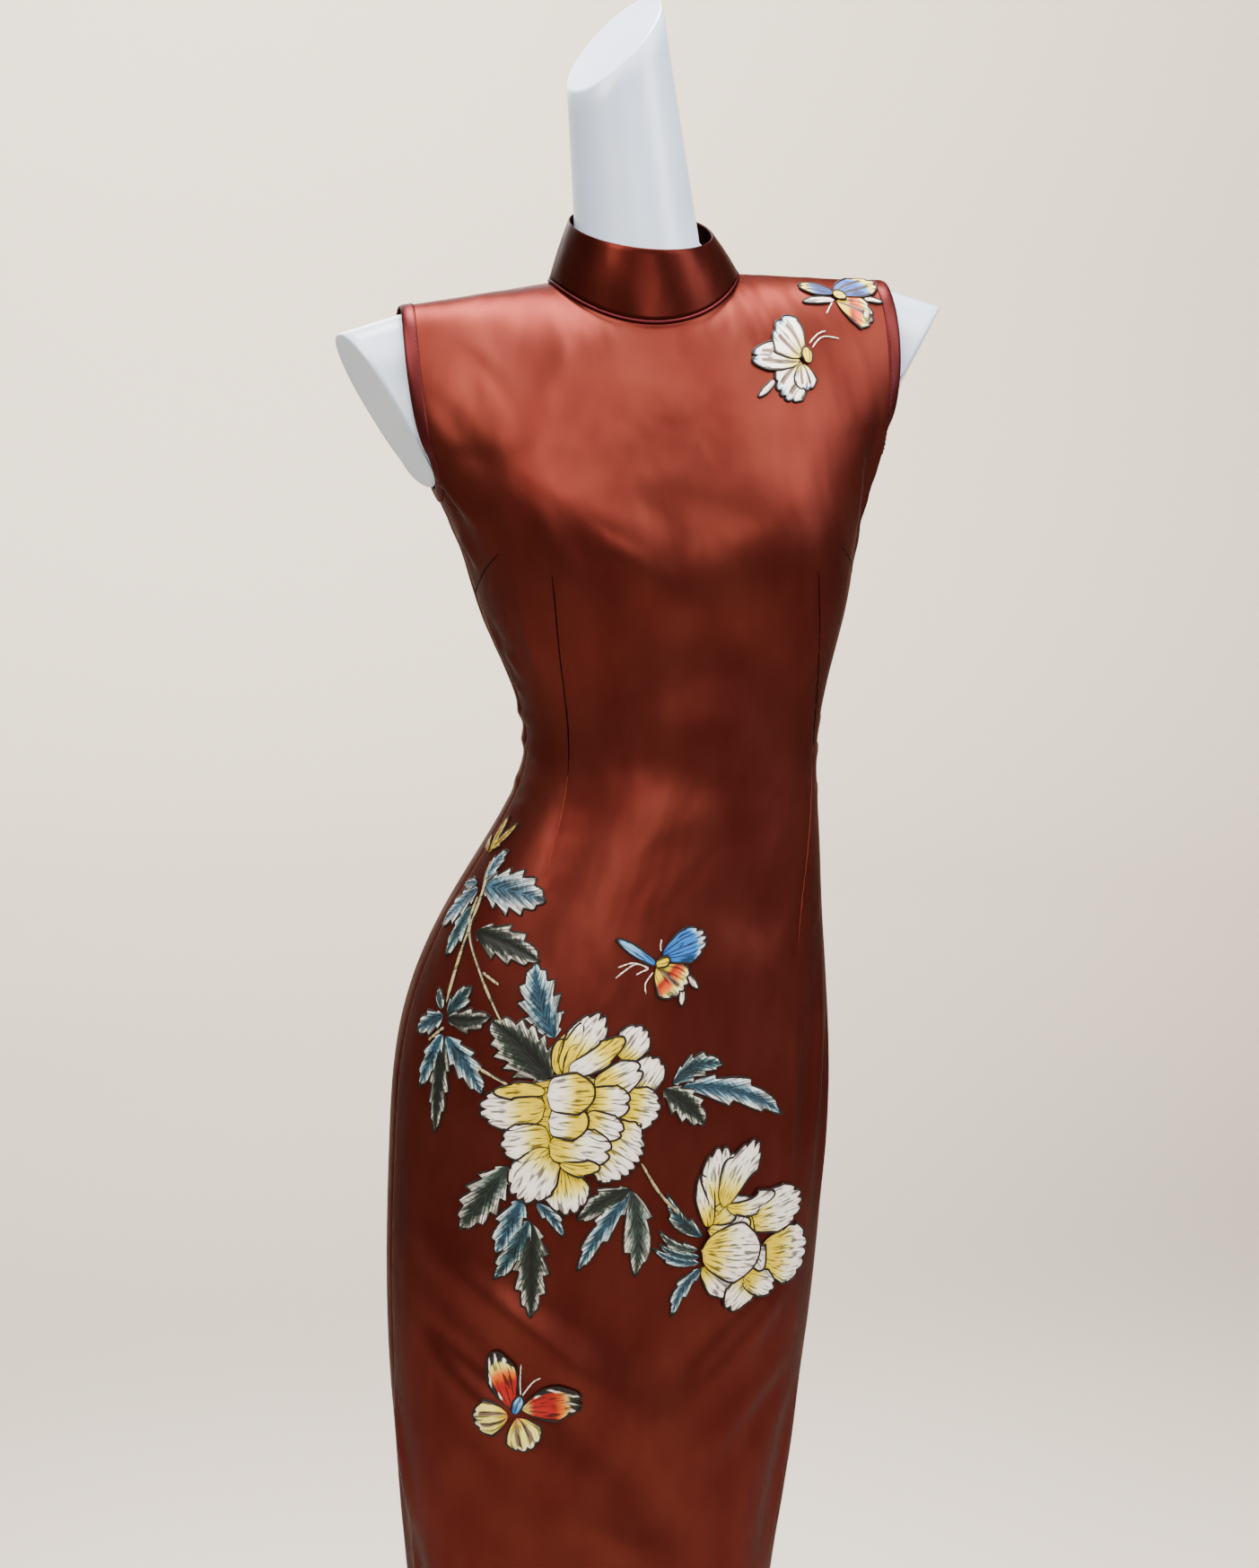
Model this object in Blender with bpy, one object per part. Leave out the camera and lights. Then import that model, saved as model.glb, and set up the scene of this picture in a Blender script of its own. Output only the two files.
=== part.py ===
"""A sleeveless cheongsam worn by a limbless dress form on a round stand.

Metres, +Z up. The front of the dress faces -Y and the wearer's left side is +X. The origin is on the
floor, under the middle of the base. The dress is drawn on an upright, symmetric body and then posed:
every point goes through pose(), which sways, twists and tilts the body with its height.
Run it with: blender --background --python part.py
"""

from math import atan2, cos, exp, pi, radians, sin, sqrt, tan

import bmesh
import bpy
import numpy as np
from mathutils import Vector
from mathutils.bvhtree import BVHTree

MM = 0.001

# ---------------------------------------------------------------- driving sizes

WALL = 1.5 * MM  # satin and its backing, pressed together
SEAM = 0.3 * MM  # gap between pieces that are sewn together

# The inside of the cloth on the upright body, in mm: heights above the floor, half of the width, and how
# far the cloth stands in front of and behind the body's axis.
SECTION_COLUMNS = ("height", "half_width", "front", "back")
SECTIONS = (
    (140, 143, 98, 102),  # hem
    (280, 145, 100, 105),
    (420, 155, 103, 110),  # under the knee
    (520, 168, 107, 114),
    (620, 176, 110, 118),
    (740, 178, 112, 118),  # hip
    (840, 172, 109, 112),
    (920, 153, 102, 98),
    (980, 133, 94, 84),
    (1040, 117, 88, 76),  # waist
    (1100, 124, 88, 82),
    (1160, 143, 92, 92),
    (1205, 153, 94, 98),  # bust
    (1255, 170, 93, 99),  # underarm
    (1288, 184, 90, 96),
    (1330, 194, 84, 90),
)

# How the upright body is posed at each height: sway to the side and to the back in mm, twist about +Z
# in degrees, and the tilt of the level, left side up, in degrees.
POSE_COLUMNS = ("height", "sway_x", "sway_y", "twist", "tilt")
POSE = (
    (0, 0, 0, 8, 0),
    (420, -3, 0, 8, 0),
    (740, 11, 0, 8, -1),
    (920, 30, 0, 7, 0),
    (1040, 58, -4, 5, 1),
    (1160, 54, -2, 2, 2),
    (1288, 46, 0, 0, 3),
    (1420, 39.5, 4, 0, 3),
    (1650, 38, 8, 0, 3),
)

SQUARENESS = 0.04  # how much fuller than an ellipse the levels are at their four corners

# Soft swellings of the body, in mm: where each pair stands, how far it reaches and how high it is.
SWELL_COLUMNS = ("side", "x", "height", "reach_x", "reach_up", "reach_down", "depth")
SWELLS = (
    ("front", 88, 1215, 86, 70, 85, 28),  # bust
    ("back", 70, 805, 75, 80, 85, 14),  # seat
    ("back", 78, 1260, 60, 60, 80, 6),  # shoulder blades
)

# The largest folds of the skirt, in mm: the two ends of each as the upright front or back shows it
# (x across, z up), its half-width and how far it stands out.
FOLD_COLUMNS = ("side", "from_x", "from_z", "to_x", "to_z", "reach", "rise")
FOLDS = (
    ("front", -100, 610, 30, 470, 15, 3.0),
    ("front", -70, 560, 70, 400, 18, -2.5),
    ("back", 100, 640, -20, 500, 16, 2.5),
    ("back", -110, 560, 10, 420, 16, 2.5),
)

CHEST = 1288 * MM  # where the panels' sides turn into the armholes
UNDERARM_DIP = 28 * MM  # the underarm is this far below that level
UNDERARM_BLEND = 110 * MM  # and the levels this near to it bend down with it
SLIT_TOP = 360 * MM
SLIT_HALF_GAP = 11 * MM  # half of a side slit's width at the hem

# The yoke above that level, in mm on the upright body.
SHOULDER_TIP = (190, 4, 1400)
NECK_POINT = (71.5, 6, 1412)  # where the shoulder seam meets the collar
NECK_PIT = (0, -60, 1378)
NAPE = (0, 62, 1424)
NECKLINE_DIP = 1.5  # 1 would lay each half of the neckline in a plane, more keeps its ends level
FRONT_SLOPE = (0.5, 0.87)  # how the cloth leans back (y) and rises (z) at the neck pit
BACK_SLOPE = (0.62, 0.78)
ARMHOLE_SWEEP = (0.26, 0.42)  # how the armhole's edge runs outward and away from the body's axis
RISE_STEP = 5 * MM  # the levels whose difference gives the cloth's rise into the yoke
SHOULDER_ROLL = 115 * MM  # pull of the shoulder's top on the cloth before and behind it

# How the cloth is divided: columns from the middle of a panel to its side seam, rows up to CHEST and in
# the yoke. The outer columns end at the underarm, and the inner ones at the neckline.
HALF_COLUMNS = 16
YOKE_HALF_COLUMNS = 13
NECK_HALF_COLUMNS = 7
YOKE_ROWS = 8
ROW_HEIGHTS = (140, 220, 300, 360, 420, 480, 530, 580, 640, 690, 740, 790, 840, 880, 920, 955, 990, 1020,
               1050, 1080, 1115, 1150, 1180, 1210, 1250, 1288)

COLLAR_WALL = 2 * MM  # stiffened
COLLAR_LIFTS = (1.6 * MM, 3.5 * MM)  # of its lower edge over the neckline: at pit and nape, at the sides
COLLAR_TOP = (-2, -2, 1450)  # middle of the upper edge, in mm
COLLAR_TOP_HALF_WIDTH = 54 * MM
COLLAR_TOP_HALF_DEPTH = 56 * MM
COLLAR_FORWARD_DROP = 0.32  # slope of the upper edge, down to the front
COLLAR_SIDE_DROP = 0.10  # and down to the left
COLLAR_ROWS = 3
PIPING_RADIUS = 1.3 * MM
PIPING_SIDES = 6
PIPING_GAP = 0.5 * MM
PIPING_STEP = 0.1 * MM  # by which the cord is moved out of the joint until it is clear

BINDING_WIDTH = 10 * MM
BINDING_WALL = 1.2 * MM
BINDING_GAP = 0.5 * MM  # over the cloth's flat facets, which the binding's own don't follow quite
BINDING_SHARES = (0.06, 0.5, 1)  # of its width, where it is laid on the cloth
PROBE = 8 * MM  # how far from the cloth its outer face is looked for
PROBE_SPREAD = 4 * MM

# The dress form under the dress.
FORM_BOTTOM = 640  # lowest of ROW_HEIGHTS that the form reaches, in mm
EASE = 3 * MM  # between the form and the cloth
SHOULDER_EASE = 0.8 * MM  # and where the dress hangs on it
SHOULDER_TOP = 1411 * MM  # above this the ease is the shoulders'
SHOULDER_REACH = 45 * MM  # and this far below it the body's
EDGE_EASE = 3 * MM  # between the form and the edges of the armholes and the neckline
NECK_RING = (-5, 0, 1440)  # middle of the neck where it leaves the collar, in mm
NECK_RING_RADIUS = 48 * MM
NECK_TOP = (-21, 0, 1590)  # middle of the neck's slanted cut, in mm
NECK_TOP_RADIUS = 36.5 * MM
NECK_CUT_RISE = (0.92, 0.5)  # how the cut rises to the left (x) and to the back (y)
NECK_ROOT = 0.6  # share of the way from the neckline to that ring, where the root's curve is widest
NECK_ROWS = 3
STUB_REACH = 53 * MM  # of a shoulder cap beyond the shoulder tip
STUB_DROP = 17  # degrees, of the cap's axis
STUB_CUT = 28  # degrees, between the cap's end and upright
STUB_TURN = 17  # degrees, that the end is turned to the front
STUB_LEAST = 1.5 * MM  # of a cap at the underarm
STUB_ROWS = 3
POLE_RADIUS = 12.5 * MM
BASE_RADIUS = 175 * MM
BASE_HEIGHT = 8 * MM
ROUND_SEGMENTS = 64
POLE_SEGMENTS = 24


# ---------------------------------------------------------------- smooth tables


class Track:
    """A natural cubic spline through one column of a table, against the table's heights."""

    def __init__(self, columns, rows, name, unit=MM):
        at = columns.index(name)
        self.x = np.array([row[0] for row in rows], float) * MM
        self.y = np.array([row[at] for row in rows], float) * unit
        step = np.diff(self.x)
        slope = np.diff(self.y) / step
        system = np.eye(len(rows))
        right = np.zeros(len(rows))
        for i in range(1, len(rows) - 1):
            system[i, i - 1 : i + 2] = step[i - 1], 2 * (step[i - 1] + step[i]), step[i]
            right[i] = 6 * (slope[i] - slope[i - 1])
        self.bend = np.linalg.solve(system, right)

    def __call__(self, x):
        x = min(max(x, self.x[0]), self.x[-1])
        i = min(int(np.searchsorted(self.x, x, "right")) - 1, len(self.x) - 2)
        h = self.x[i + 1] - self.x[i]
        a = (self.x[i + 1] - x) / h
        b = 1 - a
        bend = ((a**3 - a) * self.bend[i] + (b**3 - b) * self.bend[i + 1]) * h * h / 6
        return float(a * self.y[i] + b * self.y[i + 1] + bend)


section = {name: Track(SECTION_COLUMNS, SECTIONS, name) for name in SECTION_COLUMNS[1:]}
posture = {
    name: Track(POSE_COLUMNS, POSE, name, MM if name.startswith("sway") else 1)
    for name in POSE_COLUMNS[1:]
}


def mm(triple):
    return Vector(triple) * MM


def smooth(x):
    """0 below 0, 1 above 1, and a soft rise between."""
    x = min(max(x, 0.0), 1.0)
    return x * x * (3 - 2 * x)


def pose(p):
    """A point of the upright body, where the posed body has it."""
    turn = radians(posture["twist"](p.z))
    x = p.x * cos(turn) - p.y * sin(turn)
    y = p.x * sin(turn) + p.y * cos(turn)
    lift = p.x * tan(radians(posture["tilt"](p.z)))
    return Vector((x + posture["sway_x"](p.z), y + posture["sway_y"](p.z), p.z + lift))


# ---------------------------------------------------------------- the cloth's inner face


def away(side):
    """The way along Y from the body's axis to this side of the dress."""
    return -1 if side == "front" else 1


def level_point(side, s, z):
    """A point on the body's level z. s runs from -1 to 1, from the right seam to the left one."""
    angle = s * pi / 2
    fuller = 1 + SQUARENESS * sin(2 * angle) ** 2
    x = section["half_width"](z) * sin(angle) * fuller
    y = away(side) * section[side](z) * cos(angle) * fuller
    return Vector((x, y, z))


def underarm_dip(s, z):
    """How far the level z hangs down at s, under the armhole."""
    edge = YOKE_HALF_COLUMNS / HALF_COLUMNS
    along = max(0.0, (abs(s) - edge) / (1 - edge))
    curve = sqrt(1 - (1 - along) ** 2)
    return UNDERARM_DIP * curve * smooth(1 + (z - CHEST) / UNDERARM_BLEND)


def slit(side, z):
    """The share of a level's angle that the side slits leave to the panel."""
    open_share = max(0.0, (SLIT_TOP - z) / (SLIT_TOP - ROW_HEIGHTS[0] * MM))
    return 1 - SLIT_HALF_GAP * open_share / (section[side](z) * pi / 2)


def body_point(side, s, z):
    return level_point(side, s * slit(side, z), z - underarm_dip(s, z))


def yoke_top(side, s):
    """The yoke's upper edge, neckline then shoulder seam, and the cloth's direction there."""
    neck_edge = NECK_HALF_COLUMNS / HALF_COLUMNS
    yoke_edge = YOKE_HALF_COLUMNS / HALF_COLUMNS
    mirror = Vector((-1 if s < 0 else 1, 1, 1))
    neck_point = mm(NECK_POINT)
    over = Vector((0, -away(side), 0))
    if abs(s) >= neck_edge:
        along = (abs(s) - neck_edge) / (yoke_edge - neck_edge)
        return neck_point.lerp(mm(SHOULDER_TIP), along) * mirror, over * SHOULDER_ROLL
    middle = mm(NECK_PIT if side == "front" else NAPE)
    slope = FRONT_SLOPE if side == "front" else BACK_SLOPE
    angle = abs(s) / neck_edge * pi / 2
    point = Vector((neck_point.x * sin(angle), 0, 0))
    point.y = neck_point.y + (middle.y - neck_point.y) * cos(angle)
    point.z = neck_point.z + (middle.z - neck_point.z) * cos(angle) ** NECKLINE_DIP
    lean = Vector((0, -away(side) * slope[0], slope[1])).lerp(over, (abs(s) / neck_edge) ** 2)
    return point * mirror, lean.normalized() * SHOULDER_ROLL


def yoke_point(side, s, u):
    """A point of the yoke: u runs from 0 at CHEST to 1 at the yoke's upper edge."""
    low = body_point(side, s, CHEST)
    top, top_pull = yoke_top(side, s)
    above = level_point(side, s, CHEST + RISE_STEP)
    below = level_point(side, s, CHEST - RISE_STEP)
    rise = (above - below) / (2 * RISE_STEP)
    sideways = (abs(s) * HALF_COLUMNS / YOKE_HALF_COLUMNS) ** 4
    mirror = -1 if s < 0 else 1
    sweep = Vector((mirror * ARMHOLE_SWEEP[0], away(side) * ARMHOLE_SWEEP[1], 0)) * sideways
    low_pull = (rise + sweep) * (top - low).length
    a = 2 * u**3 - 3 * u**2 + 1
    b = u**3 - 2 * u**2 + u
    return low * a + low_pull * b + top * (1 - a) + top_pull * (u**3 - u**2)


def swell(side, s, p):
    """How far the body's swellings and the folds push the cloth out at p."""
    out = 0.0
    for place, x, height, reach_x, reach_up, reach_down, depth in SWELLS:
        if place == side:
            rise = (p.z / MM - height) / (reach_up if p.z > height * MM else reach_down)
            for middle in (-x, x):
                out += depth * exp(-(((p.x / MM - middle) / reach_x) ** 2) - rise**2)
    for place, from_x, from_z, to_x, to_z, reach, rise in FOLDS:
        if place == side:
            run = Vector((to_x - from_x, to_z - from_z))
            gone = Vector((p.x / MM - from_x, p.z / MM - from_z))
            along = gone.dot(run) / run.length_squared
            across = gone.cross(run) / run.length
            ends = smooth(2.5 * along) * smooth(2.5 * (1 - along))
            out += rise * ends * exp(-((across / reach) ** 2))
    return Vector((0, away(side) * out * MM * (1 - s**4), 0))


def cloth_point(side, column, row):
    """A point of the posed cloth's inner face. Rows count on from the body into the yoke."""
    s = column / HALF_COLUMNS
    last_body_row = len(ROW_HEIGHTS) - 1
    if row <= last_body_row:
        flat = body_point(side, s, ROW_HEIGHTS[row] * MM)
    else:
        flat = yoke_point(side, s, (row - last_body_row) / YOKE_ROWS)
    return pose(flat + swell(side, s, flat))


BODY_TOP = len(ROW_HEIGHTS) - 1
YOKE_TOP = BODY_TOP + YOKE_ROWS


def in_cloth(column, row):
    return row <= BODY_TOP or abs(column) <= YOKE_HALF_COLUMNS


def seam_shift(side, column, row, open_middle):
    """Moves a panel's edge half of the seam gap away from the next panel."""
    shift = Vector((0, 0, 0))
    at_side_seam = abs(column) == HALF_COLUMNS
    at_shoulder = row == YOKE_TOP and abs(column) >= NECK_HALF_COLUMNS
    if at_side_seam or at_shoulder:
        shift.y = away(side) * SEAM / 2
    if open_middle and column == 0:
        shift.x = open_middle * SEAM / 2
    return shift


# ---------------------------------------------------------------- meshes and materials


def clear_scene():
    for obj in list(bpy.data.objects):
        bpy.data.objects.remove(obj, do_unlink=True)


def material(name, rgb, roughness, metallic=0.0):
    mat = bpy.data.materials.new(name)
    mat.use_nodes = True
    shader = mat.node_tree.nodes["Principled BSDF"]
    shader.inputs["Base Color"].default_value = (*rgb, 1)
    shader.inputs["Roughness"].default_value = roughness
    shader.inputs["Metallic"].default_value = metallic
    mat.diffuse_color = (*rgb, 1)
    return mat


def finish(name, bm, mat):
    """Makes the named object from a bmesh, smooth but for its sharp edges."""
    mesh = bpy.data.meshes.new(name)
    bm.to_mesh(mesh)
    bm.free()
    mesh.shade_smooth()
    mesh.set_sharp_from_angle(angle=radians(40))
    mesh.materials.append(mat)
    obj = bpy.data.objects.new(name, mesh)
    bpy.context.collection.objects.link(obj)
    return obj


def add_grid(bm, points, columns, rows):
    """Quads over a dict of points by (column, row), wherever all four corners exist."""
    verts = {key: bm.verts.new(point) for key, point in points.items()}
    for column in columns[:-1]:
        for row in rows[:-1]:
            keys = [(column, row), (column + 1, row), (column + 1, row + 1), (column, row + 1)]
            if all(key in verts for key in keys):
                bm.faces.new([verts[key] for key in keys])


def tube(name, rings, mat, closed):
    """A solid through rings of points. An open one gets flat ends."""
    bm = bmesh.new()
    verts = [[bm.verts.new(p) for p in ring] for ring in rings]
    count = len(rings[0])
    pairs = list(zip(verts, verts[1:] + verts[:1])) if closed else list(zip(verts, verts[1:]))
    for ring, following in pairs:
        for i in range(count):
            j = (i + 1) % count
            bm.faces.new((ring[i], ring[j], following[j], following[i]))
    if not closed:
        bm.faces.new(verts[0][::-1])
        bm.faces.new(verts[-1])
    bmesh.ops.recalc_face_normals(bm, faces=bm.faces)
    return finish(name, bm, mat)


# ---------------------------------------------------------------- the dress


def panel(name, side, first, last, open_middle, mat):
    """One sewn panel: a wall of cloth over the columns first to last."""
    columns = range(first, last + 1)
    rows = range(YOKE_TOP + 1)
    points = {}
    for column in columns:
        for row in rows:
            if in_cloth(column, row):
                shift = seam_shift(side, column, row, open_middle)
                points[column, row] = cloth_point(side, column, row) + shift
    bm = bmesh.new()
    add_grid(bm, points, columns, rows)
    if side == "back":
        bmesh.ops.reverse_faces(bm, faces=bm.faces)
    obj = finish(name, bm, mat)
    wall = obj.modifiers.new("wall", "SOLIDIFY")
    wall.thickness = WALL
    wall.offset = 1
    wall.use_even_offset = True
    return obj


def neckline(steps=1):
    """Columns of the neckline from the middle of the back, round the left, and back to there."""
    half = NECK_HALF_COLUMNS
    columns = [step / steps for step in range(-half * steps, half * steps + 1)]
    left_back = [("back", column) for column in columns if 0 <= column < half]
    front = [("front", column) for column in reversed(columns)]
    right_back = [("back", column) for column in columns if -half < column <= 0]
    return left_back + front + right_back


def neck_angle(side, column):
    """The angle round the neck, 0 at the pit and 180 degrees at the nape."""
    angle = column / NECK_HALF_COLUMNS * pi / 2
    return angle if side == "front" else pi - angle


def collar_top_point(angle):
    x = COLLAR_TOP_HALF_WIDTH * sin(angle)
    y = -COLLAR_TOP_HALF_DEPTH * cos(angle)
    z = COLLAR_FORWARD_DROP * y - COLLAR_SIDE_DROP * x
    return pose(mm(COLLAR_TOP) + Vector((x, y, z)))


def collar_foot(side, column):
    middle_lift, side_lift = COLLAR_LIFTS
    lift = middle_lift + (side_lift - middle_lift) * sin(neck_angle(side, column)) ** 2
    return cloth_point(side, column, YOKE_TOP) + Vector((0, 0, lift))


def collar(mat):
    """The stand collar, one strip that closes at the middle of the back."""
    ring = neckline()
    points = {}
    for i, (side, column) in enumerate(ring):
        low = collar_foot(side, column)
        high = collar_top_point(neck_angle(side, column))
        for row in range(COLLAR_ROWS + 1):
            points[i, row] = low.lerp(high, row / COLLAR_ROWS)
    for row in range(COLLAR_ROWS + 1):
        points[0, row].x += SEAM / 2
        points[len(ring) - 1, row].x -= SEAM / 2
    bm = bmesh.new()
    add_grid(bm, points, range(len(ring)), range(COLLAR_ROWS + 1))
    bmesh.ops.reverse_faces(bm, faces=bm.faces)
    obj = finish("collar", bm, mat)
    wall = obj.modifiers.new("wall", "SOLIDIFY")
    wall.thickness = COLLAR_WALL
    wall.offset = 1
    wall.use_even_offset = True
    return obj


def surface_of(objects):
    """The evaluated faces of some objects as one tree, to measure clearances with."""
    bpy.context.view_layer.update()
    graph = bpy.context.evaluated_depsgraph_get()
    verts, faces = [], []
    for obj in objects:
        mesh = obj.evaluated_get(graph).to_mesh()
        mesh.calc_loop_triangles()
        start = len(verts)
        verts += [v.co.copy() for v in mesh.vertices]
        faces += [[start + i for i in triangle.vertices] for triangle in mesh.loop_triangles]
    return BVHTree.FromPolygons(verts, faces)


def facing(first, second, rough):
    """The unit vector square to two others, on the side of a rough direction."""
    normal = first.cross(second).normalized()
    return normal if normal.dot(rough) > 0 else -normal


def piping(walls, mat):
    """A thin cord sewn in where the collar meets the panels, open at the middle of the back."""
    tree = surface_of(walls)
    ring = neckline(steps=2)
    feet = [collar_foot(*key) for key in ring]
    centres = []
    for i, (side, column) in enumerate(ring):
        angle = neck_angle(side, column)
        run = feet[min(i + 1, len(ring) - 1)] - feet[max(i - 1, 0)]
        edge = cloth_point(side, column, YOKE_TOP)
        below = edge - cloth_point(side, column, YOKE_TOP - 1)
        above = collar_top_point(angle) - feet[i]
        rough = Vector((sin(angle), -cos(angle), 1))
        out = (facing(run, below, rough) + facing(run, above, rough)).normalized()
        centre = (edge + feet[i]) / 2 + out * COLLAR_WALL
        while tree.find_nearest(centre)[3] < PIPING_RADIUS + PIPING_GAP:
            centre += out * PIPING_STEP
        centres.append(centre)
    rings = []
    for i, centre in enumerate(centres):
        run = (centres[min(i + 1, len(centres) - 1)] - centres[max(i - 1, 0)]).normalized()
        up = (Vector((0, 0, 1)) - run * run.z).normalized()
        across = run.cross(up)
        turns = [2 * pi * k / PIPING_SIDES for k in range(PIPING_SIDES)]
        rings.append([centre + (across * cos(a) + up * sin(a)) * PIPING_RADIUS for a in turns])
    for point in rings[0]:
        point.x += SEAM / 2
    for point in rings[-1]:
        point.x -= SEAM / 2
    return tube("collar_piping", rings, mat, closed=False)


def armhole(mirror):
    """The loop of (side, column, row) round one armhole, from the underarm up the front."""
    low = range(HALF_COLUMNS, YOKE_HALF_COLUMNS, -1)
    edge = YOKE_HALF_COLUMNS
    front = [("front", mirror * column, BODY_TOP) for column in low]
    front += [("front", mirror * edge, row) for row in range(BODY_TOP, YOKE_TOP + 1)]
    back = [("back", column, row) for _, column, row in front[1:-1]]
    return front + back[::-1]


def into_panel(side, column, row):
    """A neighbour of an armhole's point that lies inside its panel."""
    step = 1 if column > 0 else -1
    if row > BODY_TOP:
        return cloth_point(side, column - step, row)
    if abs(column) > YOKE_HALF_COLUMNS:
        return cloth_point(side, column, row - 1)
    return cloth_point(side, column - step, row - 1)


def with_midpoints(ring):
    """A closed ring of points with one more halfway along each of its sides."""
    halves = [(a + b) / 2 for a, b in zip(ring, ring[1:] + ring[:1])]
    return [point for pair in zip(ring, halves) for point in pair]


def height_over(tree, base, outward, run):
    """How far the walls' outer face stands above base, there and a little to both sides."""
    heights = [WALL]
    for place in (base - run * PROBE_SPREAD, base, base + run * PROBE_SPREAD):
        hit = tree.ray_cast(place + outward * PROBE, -outward, 2 * PROBE)
        if hit[0] is not None:
            heights.append((hit[0] - base).dot(outward))
    return max(heights)


def binding(name, mirror, walls, mat):
    """The folded strip that binds an armhole: over the cloth's edge and 10 mm onto its face."""
    tree = surface_of(walls)
    keys = armhole(mirror)
    points = with_midpoints([cloth_point(*key) for key in keys])
    inner = with_midpoints([into_panel(*key) for key in keys])
    outer = with_midpoints([Vector((mirror, away(side), 1)) for side, _, _ in keys])
    rings = []
    for i, point in enumerate(points):
        run = (points[(i + 1) % len(points)] - points[i - 1]).normalized()
        onto = inner[i] - point
        onto = (onto - run * onto.dot(run)).normalized()
        outward = facing(run, onto, outer[i])
        places = [point + onto * share * BINDING_WIDTH for share in BINDING_SHARES]
        heights = [height_over(tree, place, outward, run) + BINDING_GAP for place in places]
        under = [place + outward * height for place, height in zip(places, heights)]
        over = [place + outward * BINDING_WALL for place in under]
        rim = point - onto * SEAM
        far_rim = rim - onto * BINDING_WALL
        corner = far_rim + outward * (over[0] - point).dot(outward)
        inner_corner = rim + outward * (under[0] - point).dot(outward)
        rings.append([rim, far_rim, corner] + over + under[::-1] + [inner_corner])
    return tube(name, rings, mat, closed=True)


# ---------------------------------------------------------------- the dress form


def open_loops(bm):
    """The mesh's boundary edges, gathered into loops."""
    left = {edge for edge in bm.edges if edge.is_boundary}
    loops = []
    while left:
        loop = [left.pop()]
        grown = True
        while grown:
            ends = {vert for edge in loop for vert in edge.verts}
            more = [edge for edge in left if ends & set(edge.verts)]
            loop += more
            left -= set(more)
            grown = bool(more)
        loops.append(loop)
    return loops


def draw_out(bm, loop, path_of):
    """Extrudes a loop of edges along path_of(each point), and closes its end."""
    starts = {}
    for edge in loop:
        for vert in edge.verts:
            starts[vert] = vert.co.copy()
    paths = {vert: path_of(start) for vert, start in starts.items()}
    for row in range(len(next(iter(paths.values())))):
        made = bmesh.ops.extrude_edge_only(bm, edges=loop)["geom"]
        loop = [item for item in made if isinstance(item, bmesh.types.BMEdge)]
        fresh = {}
        new_verts = [item for item in made if isinstance(item, bmesh.types.BMVert)]
        for vert in new_verts:
            old = next(e.other_vert(vert) for e in vert.link_edges if e.other_vert(vert) in paths)
            fresh[vert] = paths[old]
        for vert, path in fresh.items():
            vert.co = path[row]
        paths = fresh
    bmesh.ops.contextual_create(bm, geom=loop)


def stub_path(mirror):
    """A function that takes a point of an armhole's loop to its path on the shoulder cap."""
    axis = Vector((mirror * cos(radians(STUB_DROP)), 0, -sin(radians(STUB_DROP))))
    level = cos(radians(STUB_CUT))
    turn = radians(STUB_TURN)
    cut = Vector((mirror * level * cos(turn), -level * sin(turn), -sin(radians(STUB_CUT))))
    tip = pose(mm(SHOULDER_TIP) * Vector((mirror, 1, 1)))
    far = tip + axis * STUB_REACH

    def path(start):
        reach = max((far - start).dot(cut) / axis.dot(cut), STUB_LEAST)
        end = start + axis * reach
        return [start.lerp(end, row / STUB_ROWS) for row in range(1, STUB_ROWS + 1)]

    return path


def neck_path(start):
    """From a point of the neckline's loop up the neck to its slanted cut."""
    middle = pose(mm(NECK_RING))
    gone = start - middle
    angle = atan2(gone.x, -gone.y)
    around = Vector((sin(angle), -cos(angle), 0))
    ring = middle + around * NECK_RING_RADIUS
    top = pose(mm(NECK_TOP)) + around * NECK_TOP_RADIUS
    top.z += (NECK_CUT_RISE[0] * around.x + NECK_CUT_RISE[1] * around.y) * NECK_TOP_RADIUS
    column = [ring.lerp(top, row / NECK_ROWS) for row in range(NECK_ROWS + 1)]
    return [start.lerp(ring, NECK_ROOT)] + column


def form_body(mat):
    """The dress form: the cloth's inner face, eased inward, with its neck and two shoulder caps."""
    first = ROW_HEIGHTS.index(FORM_BOTTOM)
    rows = range(first, YOKE_TOP + 1)
    columns = range(-HALF_COLUMNS, HALF_COLUMNS + 1)
    bm = bmesh.new()
    for side in ("front", "back"):
        face_count = len(bm.faces)
        keys = [(c, r) for c in columns for r in rows if in_cloth(c, r)]
        add_grid(bm, {key: cloth_point(side, *key) for key in keys}, columns, rows)
        bm.faces.ensure_lookup_table()
        if side == "back":
            bmesh.ops.reverse_faces(bm, faces=bm.faces[face_count:])
    bmesh.ops.remove_doubles(bm, verts=bm.verts, dist=0.2 * MM)
    bm.normal_update()
    eases = []
    for vert in bm.verts:
        top = smooth(1 - (SHOULDER_TOP - vert.co.z) / SHOULDER_REACH)
        eases.append(vert.normal * (EASE + (SHOULDER_EASE - EASE) * top))
    for vert, ease in zip(bm.verts, eases):
        vert.co -= ease
    neck_x = pose(mm(NECK_RING)).x
    for loop in open_loops(bm):
        ring = {vert for edge in loop for vert in edge.verts}
        centre = sum((vert.co for vert in ring), Vector()) / len(ring)
        if centre.z < CHEST / 2:
            bmesh.ops.contextual_create(bm, geom=loop)
            continue
        for vert in ring:
            vert.co += (centre - vert.co).normalized() * EDGE_EASE
        if abs(centre.x - neck_x) < NECK_RING_RADIUS:
            draw_out(bm, loop, neck_path)
        else:
            draw_out(bm, loop, stub_path(1 if centre.x > neck_x else -1))
    bmesh.ops.recalc_face_normals(bm, faces=bm.faces)
    return finish("form_body", bm, mat)


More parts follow.
